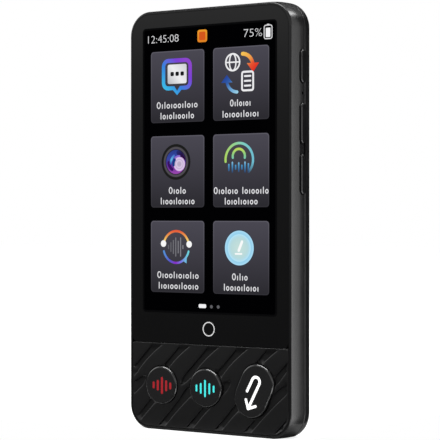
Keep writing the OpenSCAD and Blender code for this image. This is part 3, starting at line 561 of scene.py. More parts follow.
class Groove:
    """One wavy groove. Its edges are given by the distance d from the end where it starts, at the
    top for an upper groove and at the bottom for a lower one."""

    run_out = 3.3 * MM            # last stretch, over which both edges run together
    below_border = 0.2 * MM       # how far a lower groove starts below the plain border
    upper_shift = -0.1 * MM       # place of the groove with number 0, across
    lower_shift = 2.2 * MM
    # lean and bend of the left and the right edge: across in mm is lean * d + bend * d * d
    upper_curves = ((-0.9, -0.01), (-1.45, 0.042))
    lower_curves = ((1.02, -0.0115), (0.87, 0.0145))
    upper_lean, upper_bend = 1.2, 0.03   # both edges' mean lean and how it falls off
    lower_lean = 0.95

    def __init__(self, relief, number, upper):
        self.upper = upper
        self.right_slope = relief.right_slope
        if upper:
            self.length, self.width, shift = relief.upper_length, relief.upper_width, self.upper_shift
            self.z = PANEL_HIGH.z - relief.top_border
            self.curves = self.upper_curves
        else:
            self.length, self.width, shift = relief.lower_length, relief.lower_width, self.lower_shift
            self.z = PANEL_LOW.z + relief.side_border - self.below_border
            self.curves = self.lower_curves
        self.x = number * relief.pitch + shift

    def edges(self, d):
        """Left and right edge at d, across."""
        m = d / MM
        left, right = (lean * m + bend * m * m for lean, bend in self.curves)
        left, right = left * MM, right * MM + self.width
        apart = min(1.0, max(0.0, (self.length - d) / self.run_out) ** 0.7)
        middle, half = (left + right) / 2, (right - left) / 2 * apart
        return self.x + middle - half, self.x + middle + half

    def distance_in(self, point):
        """How far a point lies inside the groove, measured across; negative outside."""
        d = self.z - point[1] if self.upper else point[1] - self.z
        if not 0 <= d <= self.length:
            return -1.0
        left, right = self.edges(d)
        across = min(point[0] - left, (right - point[0]) * self.right_slope)
        return across * self.steepness(d)

    def steepness(self, d):
        """Share of a distance across that lies square to the groove's edge."""
        lean = self.upper_lean - self.upper_bend * (d / MM) if self.upper else self.lower_lean
        return 1 / math.hypot(1, lean)

    def lines(self, offsets, step):
        """Lines along both edges, each moved into the groove by an offset."""
        count = max(2, round(self.length / step))
        made = []
        for offset in offsets:
            for side in (0, 1):
                line = []
                for i in range(count + 1):
                    d = self.length * i / count
                    left, right = self.edges(d)
                    shift = offset / self.steepness(d)
                    if right - left < shift + shift / self.right_slope:
                        break
                    x = left + shift if side == 0 else right - shift / self.right_slope
                    line.append((x, self.z - d if self.upper else self.z + d))
                if len(line) > 1:
                    made.append(line)
        return made


class MakeKeyPanel(bpy.types.Operator):
    """The moulded key panel: wavy grooves with sloping sides, rounded edges and key holes"""
    bl_idname = "translator.make_key_panel"
    bl_label = "Make the Key Panel"

    mesh_step: FloatProperty(name="Mesh step", description="Spacing of the panel's inner points",
                             default=1.1 * MM, unit="LENGTH")

    upper_numbers = range(-2, 4)     # which grooves there are, from the middle
    lower_numbers = range(-4, 3)
    rim_lines = (0, 0.3, 1, 1.8)     # lines along the panel's rim and the holes, in edge roundings
    lip_lines = (-1, -0.7, -0.35, -0.1)   # lines outside a groove's edge, in lips
    wall_lines = (0, 1, 2)           # and lines inside it, in walls
    line_step = 0.55 * MM            # spacing of the points on those lines
    rim_clearance = 2.5              # least distance of an inner point from a rim, in edge roundings
    groove_clearance = 0.4           # and from a groove's edge, in mesh steps
    join = 1e-7                      # points and lines closer than this meet
    crease = math.radians(50)        # edges that turn more than this are sharp

    def execute(self, context):
        relief = context.scene.key_panel_relief
        grooves = [Groove(relief, i, True) for i in self.upper_numbers]
        grooves += [Groove(relief, i, False) for i in self.lower_numbers]
        holes = key_holes(relief)
        points, edges = self.outline_points(relief, grooves, holes)
        found = delaunay_2d_cdt(points, edges, [], 0, self.join)
        flat, faces = found[0], found[2]
        kept = [f for f in faces if self.inside(flat, f, holes)]
        mesh = self.solid(relief, grooves, holes, flat, kept)
        look = context.scene.translator_finish
        finish = moulded_plastic("panel_plastic", look.panel_colour, look.panel_roughness, shine=0.6)
        made = piece("key_panel", mesh, [finish], "chassis")
        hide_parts("front_panel")
        return {"FINISHED"}

    def outline_points(self, relief, grooves, holes):
        """Points and fixed lines of the panel's front face, seen from the front."""
        points, edges = [], []

        def add(line, closed):
            first = len(points)
            points.extend(Vector(p) for p in line)
            last = len(points) - 1
            edges.extend((i, i + 1) for i in range(first, last))
            if closed:
                edges.append((last, first))

        r = relief.edge_round
        for inset in (k * r for k in self.rim_lines):
            add(subdivided(panel_loop(inset), self.mesh_step), True)
            for hole in holes:
                add(hole_loop(hole, inset), True)
        offsets = [k * relief.lip for k in self.lip_lines] + [k * relief.wall for k in self.wall_lines]
        for groove in grooves:
            for line in groove.lines(offsets, self.line_step):
                run = []
                for p in line + [None]:
                    if p is not None and rim_distance(p, holes) > self.rim_lines[-1] * r:
                        run.append(p)
                        continue
                    if len(run) > 1:
                        add(run, False)
                    run = []
        off_rim, off_groove = self.rim_clearance * r, self.groove_clearance * self.mesh_step
        x = PANEL_LOW.x
        while x < PANEL_HIGH.x:
            z = PANEL_LOW.z
            while z < PANEL_HIGH.z:
                p = (x, z)
                near = min(abs(g.distance_in(p)) for g in grooves)
                if near > off_groove and rim_distance(p, holes) > off_rim:
                    points.append(Vector(p))
                z += self.mesh_step
            x += self.mesh_step
        return points, edges

    def inside(self, flat, face, holes):
        """Whether a face of the flat mesh lies on the panel."""
        middle = sum((flat[i] for i in face), Vector((0, 0))) / len(face)
        return rim_distance(middle, holes) > 0

    def sunk(self, relief, grooves, holes, point):
        """How far the front face lies back at a point."""
        inside = min(max(g.distance_in(point) for g in grooves), panel_distance(point) - relief.side_border,
                     (PANEL_HIGH.z - relief.top_border - point[1]) * relief.top_slope)
        if inside > 0:
            depth = relief.lip + (relief.depth - relief.lip) * min(1, inside / relief.wall)
        else:
            depth = relief.lip - math.sqrt(relief.lip ** 2 - max(0, inside + relief.lip) ** 2)
        r = relief.edge_round
        rim = rim_distance(point, holes)
        if rim < r:
            depth += r - math.sqrt(max(0.0, r * r - (r - max(rim, 0.0)) ** 2))
        return depth

    def solid(self, relief, grooves, holes, flat, faces):
        """The front face with its relief, closed by its walls and a plain back."""
        mesh = bmesh.new()
        front = {}
        for i in sorted({i for f in faces for i in f}):
            p = flat[i]
            front[i] = mesh.verts.new((p.x, PANEL_LOW.y + self.sunk(relief, grooves, holes, p), p.y))
        for face in faces:
            mesh.faces.new([front[i] for i in face])
        sides = dict.fromkeys(side for face in faces for side in zip(face, face[1:] + face[:1]))
        open_edges = [(a, b) for a, b in sides if (b, a) not in sides]
        on_rim = sorted({i for e in open_edges for i in e})
        back = {i: mesh.verts.new((flat[i].x, PANEL_HIGH.y, flat[i].y)) for i in on_rim}
        for a, b in open_edges:
            mesh.faces.new([front[b], front[a], back[a], back[b]])
        place = {i: n for n, i in enumerate(on_rim)}
        outline = [(place[a], place[b]) for a, b in open_edges]
        closed = delaunay_2d_cdt([flat[i] for i in on_rim], outline, [], 0, self.join)
        original = [on_rim[o[0]] if o else None for o in closed[3]]
        for face in closed[2]:
            if self.inside(closed[0], face, holes) and all(original[i] is not None for i in face):
                mesh.faces.new([back[original[i]] for i in reversed(face)])
        bmesh.ops.recalc_face_normals(mesh, faces=mesh.faces)
        for face in mesh.faces:
            face.smooth = True
        for edge in mesh.edges:
            if len(edge.link_faces) == 2 and edge.calc_face_angle() > self.crease:
                edge.smooth = False
        return mesh


class FinishKeys(bpy.types.Operator):
    """Satin plastic for the front keys and the side keys"""
    bl_idname = "translator.finish_keys"
    bl_label = "Finish the Keys"

    def execute(self, context):
        look = context.scene.translator_finish
        dress(moulded_plastic("key_plastic", look.key_colour, look.key_roughness, shine=1.0, coat=0.2),
              "left_speak_key", "right_speak_key", "back_key")
        dress(moulded_plastic("side_key_plastic", look.side_key_colour, 0.16, shine=0.6),
              "power_key", "volume_up_key", "volume_down_key")
        return {"FINISHED"}


class PrintKeyLegends(bpy.types.Operator):
    """Sound-wave bars on the two speak keys and a turning arrow on the back key"""
    bl_idname = "translator.print_key_legends"
    bl_label = "Print the Key Legends"

    bar_heights = (2.1, 3.2, 5.1, 3.3, 2.1)   # mm

    def execute(self, context):
        legends = context.scene.key_legends
        self.bars("left_speak_key", legends, mm(0.45, -0.1), legends.left_colour, bolder=1.25, glow=0.24)
        self.bars("right_speak_key", legends, mm(0.1, -0.15), legends.right_colour, bolder=1, glow=0.40)
        self.arrow("back_key", legends, mm(-0.7, -0.25), glow=0.55)
        return {"FINISHED"}

    def bars(self, key, legends, shift, rgb, bolder, glow):
        """A row of upright bars, shift away from the middle of the key."""
        middle = centre_of(key)
        centre = (middle[0] + shift[0], middle[1] + shift[1])
        width = legends.bar_width * bolder
        flat = Flat(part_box(key)[0].y)
        for i, height in enumerate(self.bar_heights):
            x = centre[0] + (i - len(self.bar_heights) // 2) * legends.bar_pitch
            reach = (height * MM - width) / 2
            flat.stroke([(x, centre[1] - reach), (x, centre[1] + reach)], width)
        flat.finish(key + "_legend", [printed(key + "_ink", rgb, glow)], key, "key_black")

    def arrow(self, key, legends, shift, glow):
        """A line with a head at its low end that turns back on itself at its top end."""
        middle = centre_of(key)
        centre = Vector((middle[0] + shift[0], middle[1] + shift[1]))
        along = Vector((math.cos(legends.arrow_lean), math.sin(legends.arrow_lean)))
        up = Vector((-along.y, along.x))
        width, head, hook = mm(0.85, 1.9, 1.35)
        half = legends.arrow_length / 2
        tail = -0.1 * half

        def place(u, v):
            return centre + along * u + up * v

        line = [place(-half, -hook), place(half - hook, -hook)]
        line += [place(half - hook + hook * math.sin(t), -hook * math.cos(t))
                 for t in (math.pi * i / 12 for i in range(1, 12))]
        line += [place(half - hook, hook), place(tail, hook)]
        flat = Flat(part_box(key)[0].y)
        flat.stroke(line, width)
        for side in (-1, 1):
            flat.stroke([place(-half, -hook), place(-half + head, -hook + side * head)], width)
        ink = printed(key + "_ink", legends.back_colour, glow)
        flat.finish(key + "_legend", [ink], key, "key_black")


class PrintHomeRing(bpy.types.Operator):
    """The ring printed under the screen, a touch area"""
    bl_idname = "translator.print_home_ring"
    bl_label = "Print the Home Ring"

    def execute(self, context):
        centre, radius, line = mm(0.2, 30.85), 2.0 * MM, 0.32 * MM
        flat = Flat(level(0))
        flat.ring(centre, radius, line)
        flat.finish("home_ring", [printed("ring_ink", seen(188, 188, 188), 0.45)], "chassis", "glass_black")
        return {"FINISHED"}


# ---- lit screen --------------------------------------------------------------------------

class LightScreen(bpy.types.Operator):
    """The dark picture area and its six menu tiles"""
    bl_idname = "translator.light_screen"
    bl_label = "Light the Screen"

    def execute(self, context):
        layout = context.scene.screen_layout
        low = Vector((CELL_LOW.x + CELL_BORDER, CELL_LOW.z + CELL_FOOT))
        high = Vector((CELL_HIGH.x - CELL_BORDER, CELL_HIGH.z - CELL_BORDER))
        centre, size = (low + high) / 2, high - low
        corner, border, border_corner = mm(0.6, 0.6, 0.9)
        dark = Flat(level(0))
        dark.plate(rounded(centre, size.x, size.y, corner))
        dark.show("screen_area", lit_round("screen_black", centre, 60 * MM, (0, 2, 2, 3), (1, 1, 1, 2)))
        # Painted sheen: a faint lit stroke round the dark picture area stands in for the glass's reflection
        # at the screen's edge.
        soft = Flat(level(0))
        soft.stroke(rounded(centre, size.x + border, size.y + border, border_corner), border, closed=True)
        soft.show("screen_edge_painted_sheen", even_light("screen_edge_painted_sheen", seen(10, 10, 11)))
        for number, (column, row) in enumerate(tile_centres(layout), 1):
            self.tile(layout, number, column, row)
        return {"FINISHED"}

    def tile(self, layout, number, x, z):
        width, height, r = layout.tile_width, layout.tile_height, layout.tile_round
        foot, head = (x, z - height / 2), (x, z + height / 2)
        line = 0.3 * MM
        flat = Flat(level(1))
        flat.plate(rounded((x, z), width, height, r))
        fill = lit(f"tile_{number}_fill", [(0, layout.tile_bottom), (1, layout.tile_top)], foot, head)
        flat.show(f"menu_tile_{number}", fill)
        rim = Flat(level(2))
        rim.stroke(rounded((x, z), width - line, height - line, r), line, closed=True)
        edge = lit_along(f"tile_{number}_edge", foot, head, (0, 50, 49, 54), (1, 92, 90, 100))
        rim.show(f"menu_tile_{number}_edge", edge)


def tile_centres(layout):
    """The six tiles' middles, row by row."""
    rows = [layout.row_top - i * layout.row_pitch for i in range(3)]
    return [(column, row) for row in rows for column in (layout.column_left, layout.column_right)]


def digits(name, text, left, bottom, width, height, finish):
    """A row of plain digits, fitted into a box on the screen."""
    slimming = 0.016  # taken off each line's edges, in heights of the letter body
    curve = bpy.data.curves.new(name, "FONT")
    curve.body = text
    curve.extrude = 0.5
    curve.offset = -slimming
    source = bpy.data.objects.new(name + "_source", curve)
    bpy.context.scene.collection.objects.link(source)
    bpy.context.view_layer.update()
    data = bpy.data.meshes.new_from_object(source.evaluated_get(bpy.context.evaluated_depsgraph_get()))
    bpy.data.objects.remove(source)
    low = [min(v.co[i] for v in data.vertices) for i in range(3)]
    high = [max(v.co[i] for v in data.vertices) for i in range(3)]
    across, up = width / (high[0] - low[0]), height / (high[1] - low[1])
    thick = LAYER / (high[2] - low[2])
    for v in data.vertices:
        v.co = (left + (v.co.x - low[0]) * across, level(1) - (v.co.z - low[2]) * thick,
                bottom + (v.co.y - low[1]) * up)
    mesh = bmesh.new()
    mesh.from_mesh(data)
    bpy.data.meshes.remove(data)
    bmesh.ops.remove_doubles(mesh, verts=mesh.verts, dist=10 * WELD)
    bmesh.ops.recalc_face_normals(mesh, faces=mesh.faces)
    return piece(name, mesh, [finish], "chassis")


class DrawStatusBar(bpy.types.Operator):
    """Clock digits, a coloured badge, the charge in percent and a battery symbol"""
    bl_idname = "translator.draw_status_bar"
    bl_label = "Draw the Status Bar"

    def execute(self, context):
        white = even_light("status_white", seen(218, 218, 220))
        digits("clock_digits", "12:45:08", *mm(-22.2, 116.4, 11.4, 2.25), white)
        digits("charge_digits", "75%", *mm(12.7, 116.35, 6.4, 2.3), white)
        badge = Flat(level(1))
        middle = mm(-2.1, 117.6)
        badge.plate(rounded(middle, 3.5 * MM, 3.7 * MM, 0.7 * MM))
        orange = lit_along("badge_orange", mm(-2.1, 115.6), mm(-2.1, 119.6),
                           (0, 222, 128, 34), (1, 236, 156, 44))
        badge.show("status_badge", orange)
        mark = Flat(level(2))
        mark.plate(rounded(middle, 2.3 * MM, 2.5 * MM, 0.4 * MM))
        mark.show("status_badge_mark", even_light("badge_mark", seen(214, 88, 30)))
        cell = Flat(level(1))
        centre = mm(21.2, 117.4)
        cell.stroke(rounded(centre, 2.7 * MM, 3.9 * MM, 0.6 * MM), 0.3 * MM, closed=True)
        cell.stroke([mm(20.95, 119.55), mm(21.45, 119.55)], 0.36 * MM)
        cell.plate(rounded(mm(21.2, 117.25), 1.6 * MM, 2.7 * MM, 0.2 * MM), 1)
        cell.show("battery_symbol", white, even_light("battery_full", seen(246, 246, 248)))
        return {"FINISHED"}


class DrawSpeechIcon(bpy.types.Operator):
    """First tile: a speech bubble with three dots"""
    bl_idname = "translator.draw_speech_icon"
    bl_label = "Draw the Speech Icon"

    def execute(self, context):
        bubble = Flat(level(3))
        outline = rounded(mm(-11.425, 106.675), 9.85 * MM, 8.25 * MM, 1.7 * MM)
        tail = [mm(-12.6, 102.55), mm(-11.3, 101.05), mm(-10.0, 102.55)]
        bubble.stroke(outline + tail, 1.25 * MM, closed=True)
        rim = lit_along("bubble_rim", mm(-16.5, 101.5), mm(-7.5, 110),
                        (0, 62, 198, 232), (0.45, 56, 128, 222), (0.8, 122, 66, 214), (1, 140, 70, 205))
        bubble.show("speech_bubble", rim)
        card = Flat(level(4))
        card.plate(rounded(mm(-11.3, 106.75), 7.0 * MM, 5.8 * MM, 0.6 * MM))
        paper = lit_along("bubble_card", mm(-15.4, 104), mm(-8, 110),
                          (0, 176, 178, 184), (0.5, 238, 238, 240), (1, 206, 206, 212))
        card.show("speech_card", paper)
        dots = Flat(level(5))
        for i in range(3):
            dots.plate(rounded(mm(-13.1 + 1.85 * i, 106.8), 1.25 * MM, 1.25 * MM, 0.35 * MM))
        dots.show("speech_dots", even_light("dot_black", seen(24, 24, 28)))
        return {"FINISHED"}


class DrawExchangeIcon(bpy.types.Operator):
    """Second tile: a globe and a page, with an arrow each way between them"""
    bl_idname = "translator.draw_exchange_icon"
    bl_label = "Draw the Exchange Icon"

    def execute(self, context):
        there = Flat(level(3))
        there.arc(mm(12.2, 107.75), 3.8 * MM, 1.15 * MM, 88, 8)
        there.plate([mm(13.85, 108.75), mm(16.0, 106.1), mm(18.1, 108.75)])
        warm = lit_along("arrow_warm", mm(12.2, 111.6), mm(16.5, 106.6),
                         (0, 246, 194, 84), (0.4, 238, 160, 76), (0.68, 228, 84, 50), (1, 222, 40, 32))
        there.show("arrow_there", warm)
        back = Flat(level(3))
        back.arc(mm(10.5, 104.3), 3.8 * MM, 0.95 * MM, 268, 190)
        back.plate([mm(4.75, 103.35), mm(8.75, 103.35), mm(6.75, 105.6)])
        cool = lit_along("arrow_cool", mm(10.4, 100.4), mm(6.0, 105.4),
                         (0, 152, 206, 230), (0.3, 106, 164, 212), (0.65, 50, 92, 168), (1, 34, 58, 148))
        back.show("arrow_back", cool)
        signs = Flat(level(3))
        middle, r, line = mm(8.85, 109.25), 2.45 * MM, 0.42 * MM
        signs.ring(middle, r, 0.5 * MM)
        for side in (-1, 1):
            tip = [(middle[0] + side * 1.15 * MM * math.cos(t), middle[1] + r * math.sin(t))
                   for t in (math.pi * (i / 12 - 0.5) for i in range(13))]
            signs.stroke(tip, line)
        signs.stroke([(middle[0] - r, middle[1]), (middle[0] + r, middle[1])], line)
        signs.stroke(rounded(mm(14.1, 103.55), 3.9 * MM, 5.4 * MM, 0.6 * MM), 0.6 * MM, closed=True)
        for z in (105.0, 103.6, 102.2):
            signs.stroke([mm(13.1, z), mm(15.1, z)], 0.55 * MM)
        signs.show("globe_and_page", even_light("sign_white", seen(240, 240, 242)))
        return {"FINISHED"}


class DrawLensIcon(bpy.types.Operator):
    """Third tile: a camera lens"""
    bl_idname = "translator.draw_lens_icon"
    bl_label = "Draw the Lens Icon"

    def execute(self, context):
        middle, r = mm(-11.75, 80.45), 5.35 * MM
        pale, pale_r = mm(-10.45, 79.8), 2.15 * MM
        barrel = Flat(level(3))
        barrel.disc(middle, r, steps=48)
        rim = lit_round("lens_barrel", middle, r,
                        (0, 20, 20, 24), (0.69, 30, 24, 38), (0.745, 80, 77, 84), (0.82, 80, 77, 82),
                        (0.87, 27, 27, 26), (1, 30, 31, 30))
        barrel.show("lens_barrel", rim)
        glass = Flat(level(4))
        glass.disc(middle, 3.6 * MM, steps=48)
        tint = lit_along("lens_tint", mm(-13, 83.8), mm(-12.2, 77),
                         (0, 42, 60, 138), (0.3, 54, 70, 160), (0.5, 72, 50, 148), (0.75, 112, 52, 152),
                         (1, 154, 72, 176))
        glass.show("lens_glass", tint)
        edge = Flat(level(5))
        edge.arc(middle, 2.9 * MM, 1.35 * MM, 16, 72)
        edge.arc(middle, 2.6 * MM, 1.0 * MM, 184, 238, 1)
        night = lit_along("lens_night", mm(-10.9, 83.7), mm(-8.6, 81.2),
                          (0, 38, 42, 108), (0.45, 37, 20, 70), (1, 48, 10, 62))
        edge.show("lens_edge", night, even_light("lens_violet", seen(58, 16, 98)))
        swirl = Flat(level(6))
        swirl.disc(pale, pale_r)
        swirl.arc(pale, 3.2 * MM, 0.7 * MM, 128, 176, 1)
        swirl.arc(pale, 2.4 * MM, 0.55 * MM, 88, 130, 2)
        gleam = lit_round("lens_gleam", pale, pale_r,
                          (0, 178, 164, 192), (0.3, 188, 172, 200), (0.5, 222, 204, 232),
                          (0.65, 190, 168, 206), (0.82, 226, 206, 236), (1, 200, 156, 220))
        sky = lit_along("lens_sky", mm(-13.6, 80.0), mm(-12.2, 82.4),
                        (0, 58, 84, 176), (0.4, 96, 184, 226), (1, 70, 104, 196))
        lilac = even_light("lens_lilac", seen(140, 104, 206))
        swirl.show("lens_swirl", gleam, sky, lilac)
        glint = Flat(level(7))
        glint.arc(pale, 2.1 * MM, 0.85 * MM, 142, 188)
        glint.show("lens_glint", even_light("lens_deep", seen(20, 58, 130)))
        return {"FINISHED"}


class DrawRecordIcon(bpy.types.Operator):
    """Fourth tile: two arches over a row of level bars"""
    bl_idname = "translator.draw_record_icon"
    bl_label = "Draw the Recording Icon"

    # place across, foot and head of each level bar, in mm
    bars = ((7.5, 77.6, 79.3), (8.75, 77.1, 79.9), (9.9, 78.0, 79.0), (11.0, 77.3, 79.7),
            (12.1, 78.0, 79.0), (13.2, 77.0, 79.9), (14.4, 77.3, 79.4))

    def execute(self, context):
        middle, r, line = mm(11.15, 80.7), 4.85 * MM, 0.76 * MM
        arches = Flat(level(3))
        arches.arc(middle, r, line, 186, -8, 0, 40)
        arches.arc(middle, r, line, -8, -47, 1)
        arches.arc(mm(11.0, 81.7), 2.15 * MM, 0.75 * MM, 190, -12, 2)
        outer = lit_along("arch_outer", mm(6.0, 80), mm(16.2, 80),
                          (0, 172, 212, 96), (0.35, 148, 210, 146), (0.65, 126, 206, 194),
                          (1, 112, 190, 210))
        foot = lit_along("arch_foot", mm(14.2, 77.0), mm(16.2, 80), (0, 56, 74, 104), (1, 112, 190, 210))
        inner = lit_along("arch_inner", mm(11, 81.0), mm(11, 83.8),
                          (0, 118, 196, 176), (0.45, 140, 206, 130), (1, 188, 216, 92))
        arches.show("record_arches", outer, foot, inner)
        levels = Flat(level(4))
        for x, low, high in self.bars:
            levels.stroke([mm(x, low), mm(x, high)], 0.52 * MM)
        blue = lit_along("level_blue", mm(10.8, 76.9), mm(10.8, 80.1),
                         (0, 50, 62, 92), (0.3, 56, 104, 152), (0.7, 78, 152, 200), (1, 136, 192, 222))
        levels.show("record_levels", blue)
        return {"FINISHED"}


class DrawHeadsetIcon(bpy.types.Operator):
    """Fifth tile: a headset round a sound wave"""
    bl_idname = "translator.draw_headset_icon"
    bl_label = "Draw the Headset Icon"

    # place beside the middle and height of each bar of the wave, in mm
    wave = ((-2.85, 1.0), (-1.95, 2.6), (-1.05, 3.9), (-0.15, 5.4), (0.75, 3.5), (1.65, 5.4), (2.5, 0.9))

    def execute(self, context):
        x0, z0 = -11.65, 55.0
        middle, r = mm(x0, z0), 4.75 * MM
        band = Flat(level(3))
        band.arc(middle, r, 0.7 * MM, 163, 17)
        band.arc(middle, r, 0.66 * MM, 196, 344, 1)
        band.plate([mm(-9.5, 51.1), mm(-7.85, 50.15), mm(-7.75, 52.0)], 1)
        warm = lit_along("band_warm", mm(-11, 56.7), mm(-11, 59.7),
                         (0, 240, 216, 124), (0.4, 238, 170, 84), (1, 230, 94, 58))
        cool = lit_along("band_cool", mm(-16.3, 53.2), mm(-7.2, 53.2),
                         (0, 84, 146, 216), (0.25, 88, 88, 204), (0.5, 134, 44, 200),
                         (0.72, 120, 120, 226), (1, 110, 212, 222))
        band.show("headset_band", warm, cool)
        pads = Flat(level(4))
        pads.disc(mm(-16.35, 56.0), 1.0 * MM)
        pads.disc(mm(-6.85, 55.85), 1.0 * MM)
        pads.show("headset_pads", even_light("pad_white", seen(250, 250, 250)))
        bars = Flat(level(3))
        for x, height in self.wave:
            bars.stroke([mm(x0 + x, z0 - height / 2), mm(x0 + x, z0 + height / 2)], 0.34 * MM)
        grey = lit_along("wave_grey", mm(-14, 55), mm(-9.4, 55), (0, 104, 104, 110), (1, 136, 136, 142))
        bars.show("headset_wave", grey)
        return {"FINISHED"}


class DrawPenIcon(bpy.types.Operator):
    """Sixth tile: a pen over a line on a pale disc"""
    bl_idname = "translator.draw_pen_icon"
    bl_label = "Draw the Pen Icon"

    def execute(self, context):
        middle, r = mm(11.17, 54.93), 5.3 * MM
        disc = Flat(level(3))
        disc.disc(middle, r, steps=56)
        blue = lit_round("pen_disc", middle, r,
                         (0, 200, 224, 218), (0.55, 184, 218, 220), (0.68, 178, 220, 234),
                         (0.73, 184, 230, 248), (0.79, 150, 207, 234), (0.88, 158, 214, 242),
                         (0.95, 176, 224, 247), (0.965, 42, 52, 70), (1, 54, 60, 74))
        disc.show("pen_disc", blue)
        pen = Flat(level(4))
        pen.stroke([mm(11.0, 54.2), mm(12.15, 56.75)], 0.85 * MM)
        pen.stroke([mm(9.85, 53.2), mm(12.0, 53.2)], 0.5 * MM)
        pen.show("pen_and_line", even_light("pen_white", seen(250, 252, 252)))
        return {"FINISHED"}


class DrawCaptions(bpy.types.Operator):
    """Two rows of plain rings and strokes under each icon, in the place of a caption"""
    bl_idname = "translator.draw_captions"
    bl_label = "Draw the Captions"

    # left end, right end and foot of each row in mm, and its marks: O and o are rings, l and i strokes
    rows = ((-19.05, -3.65, 96.5, "Oiloiooiloio"), (-17.75, -4.95, 93.3, "loioliooilo"),
            (7.75, 15.35, 96.3, "Oiloioi"), (4.95, 18.15, 93.1, "loiooiloioi"),
            (-14.55, -7.95, 70.9, "Oiolo"), (-17.65, -4.75, 67.75, "liooiloioio"),
            (1.95, 21.55, 70.7, "Oioloio loiooilo"), (5.75, 17.75, 67.6, "loiolioioo"),
            (-18.85, -3.25, 45.6, "Oioolioiolio"), (-18.45, -3.35, 42.4, "lioiooilooio"),
            (8.45, 14.25, 45.45, "Oilio"), (5.45, 18.15, 42.35, "looioiloioi"))
    advance = {"O": 1.6, "o": 1.42, "l": 0.85, "i": 0.85, " ": 1.1}
    tall_share = 1.5   # height of O and l beside that of o and i

    def execute(self, context):
        layout = context.scene.screen_layout
        line, gap = mm(0.31, 0.3)
        text = Flat(level(3))
        for left, right, foot, marks in self.rows:
            stretch = (right - left) / sum(self.advance[m] for m in marks)
            x = left
            for mark in marks:
                room = self.advance[mark] * stretch
                middle = (x + room / 2) * MM
                x += room
                tall = layout.caption_x_height * (self.tall_share if mark in "Ol" else 1)
                if mark in "Oo":
                    half = (room * MM - gap - line) / 2
                    centre = foot * MM + tall / 2
                    ring = [(middle + half * math.cos(t), centre + (tall - line) / 2 * math.sin(t))
                            for t in (math.pi * k / 8 for k in range(16))]
                    text.stroke(ring, line, closed=True)
                elif mark != " ":
                    text.stroke([(middle, foot * MM + line / 2), (middle, foot * MM + tall - line / 2)],
                                line, ends=3)
        text.show("caption_strokes", even_light("caption_white", layout.caption_colour))
        return {"FINISHED"}


class DrawPager(bpy.types.Operator):
    """The page marks under the menu"""
    bl_idname = "translator.draw_pager"
    bl_label = "Draw the Page Marks"

    def execute(self, context):
        marks = Flat(level(1))
        marks.plate(rounded(mm(-2.05, 37.6), 2.7 * MM, 1.15 * MM, 0.4 * MM))
        for x in (1.2, 3.65):
            marks.disc(mm(x, 37.5), 0.5 * MM, 1)
        here = even_light("page_here", seen(244, 244, 246))
        other = even_light("page_other", seen(96, 96, 100))
        marks.show("page_marks", here, other)
        return {"FINISHED"}


# ---- rear, socket and inside -------------------------------------------------------------

class FinishRear(bpy.types.Operator):
    """Camera trim, camera window with its lens, light and speaker mesh"""
    bl_idname = "translator.finish_rear"
    bl_label = "Finish the Rear"

    def execute(self, context):
        dress(worked_metal("trim_metal", (0.12, 0.12, 0.125), 0.34), "camera_ring")
        dress(polished_glass("window_black", (0.003, 0.003, 0.005), 0.05, coat=0.4), "camera_window")
        dress(flecked("lens_milky", (0.72, 0.70, 0.62), 0.3, 0.5 * MM, 0.05), "flash_lens")
        dress(worked_metal("mesh_metal", (0.05, 0.05, 0.055), 0.5), "speaker_mesh")
        self.lens()
        return {"FINISHED"}

    def lens(self):
        """Rings of the lens that show through the camera window."""
        middle = centre_of("camera_window")
        rings = Flat(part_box("camera_window")[1].y + LAYER)
        rings.ring(middle, 2.35 * MM, 0.35 * MM)
        rings.ring(middle, 1.75 * MM, 0.22 * MM)
        rings.disc(middle, 1.15 * MM, 1)
        barrel = polished_glass("lens_ring_black", (0.018, 0.018, 0.02), 0.28)
        coating = polished_glass("lens_coating", (0.012, 0.010, 0.035), 0.06, coat=0.6)
        rings.finish("camera_lens_rings", [barrel, coating], "chassis", "camera_glass")


class FinishInside(bpy.types.Operator):
    """Plain finishes for the socket and for what the housing holds"""
    bl_idname = "translator.finish_inside"
    bl_label = "Finish the Socket and the Inside"

    def execute(self, context):
        steel = worked_metal("sheet_steel", (0.56, 0.57, 0.58), 0.3, (1, 1, 12))
        dress(steel, "usb_port", "chassis_plate", "processor_shield", "radio_shield",
              "board_screws", "plate_screws", "key_board_screws", "side_switches")
        dress(worked_metal("dome_gold", (0.78, 0.60, 0.28), 0.28), "key_domes")
        dress(flecked("solder_mask", (0.012, 0.075, 0.035), 0.35, 0.8 * MM), "main_board", "key_board")
        dress(flecked("film_amber", (0.45, 0.21, 0.035), 0.3, 0.6 * MM), "display_flex", "link_flex",
              "battery_lead", "antenna_flex", "side_key_board")
        dress(flecked("battery_foil", (0.10, 0.105, 0.11), 0.35, 2 * MM, 0.08), "battery")
        dress(flecked("black_foam", (0.02, 0.02, 0.02), 0.9, 0.25 * MM, 0.4), "glass_tape",
              "speaker_gasket")
        dress(flecked("cream_tape", (0.62, 0.58, 0.45), 0.7, 1 * MM), "battery_tape")
        dress(flecked("inner_black", (0.018, 0.018, 0.02), 0.45, 0.4 * MM), "usb_tongue", "flex_connectors",
              "speaker", "camera_module")
        dress(flecked("inner_cream", (0.42, 0.40, 0.33), 0.4, 0.5 * MM), "bottom_microphone",
              "side_microphone", "flash_led")
        dress(flecked("cell_dark", (0.01, 0.01, 0.014), 0.2, 4 * MM), "lcd_cell")
        dress(worked_metal("backlight_foil", (0.7, 0.7, 0.72), 0.35), "backlight_unit")
        return {"FINISHED"}


# ---- studio ------------------------------------------------------------------------------

def combined(tree, operation, a, b):
    """The outcome of a sum with two values."""
    return node(tree, "ShaderNodeMath", {0: a, 1: b}, operation=operation).outputs[0]


def whitened(tree, share_of_white, colour_socket):
    """A colour that turns white where share_of_white is 1."""
    made = node(tree, "ShaderNodeMix", {"Factor": share_of_white, "A": colour_socket, "B": (1, 1, 1, 1)},
                data_type="RGBA")
    return made.outputs["Result"]


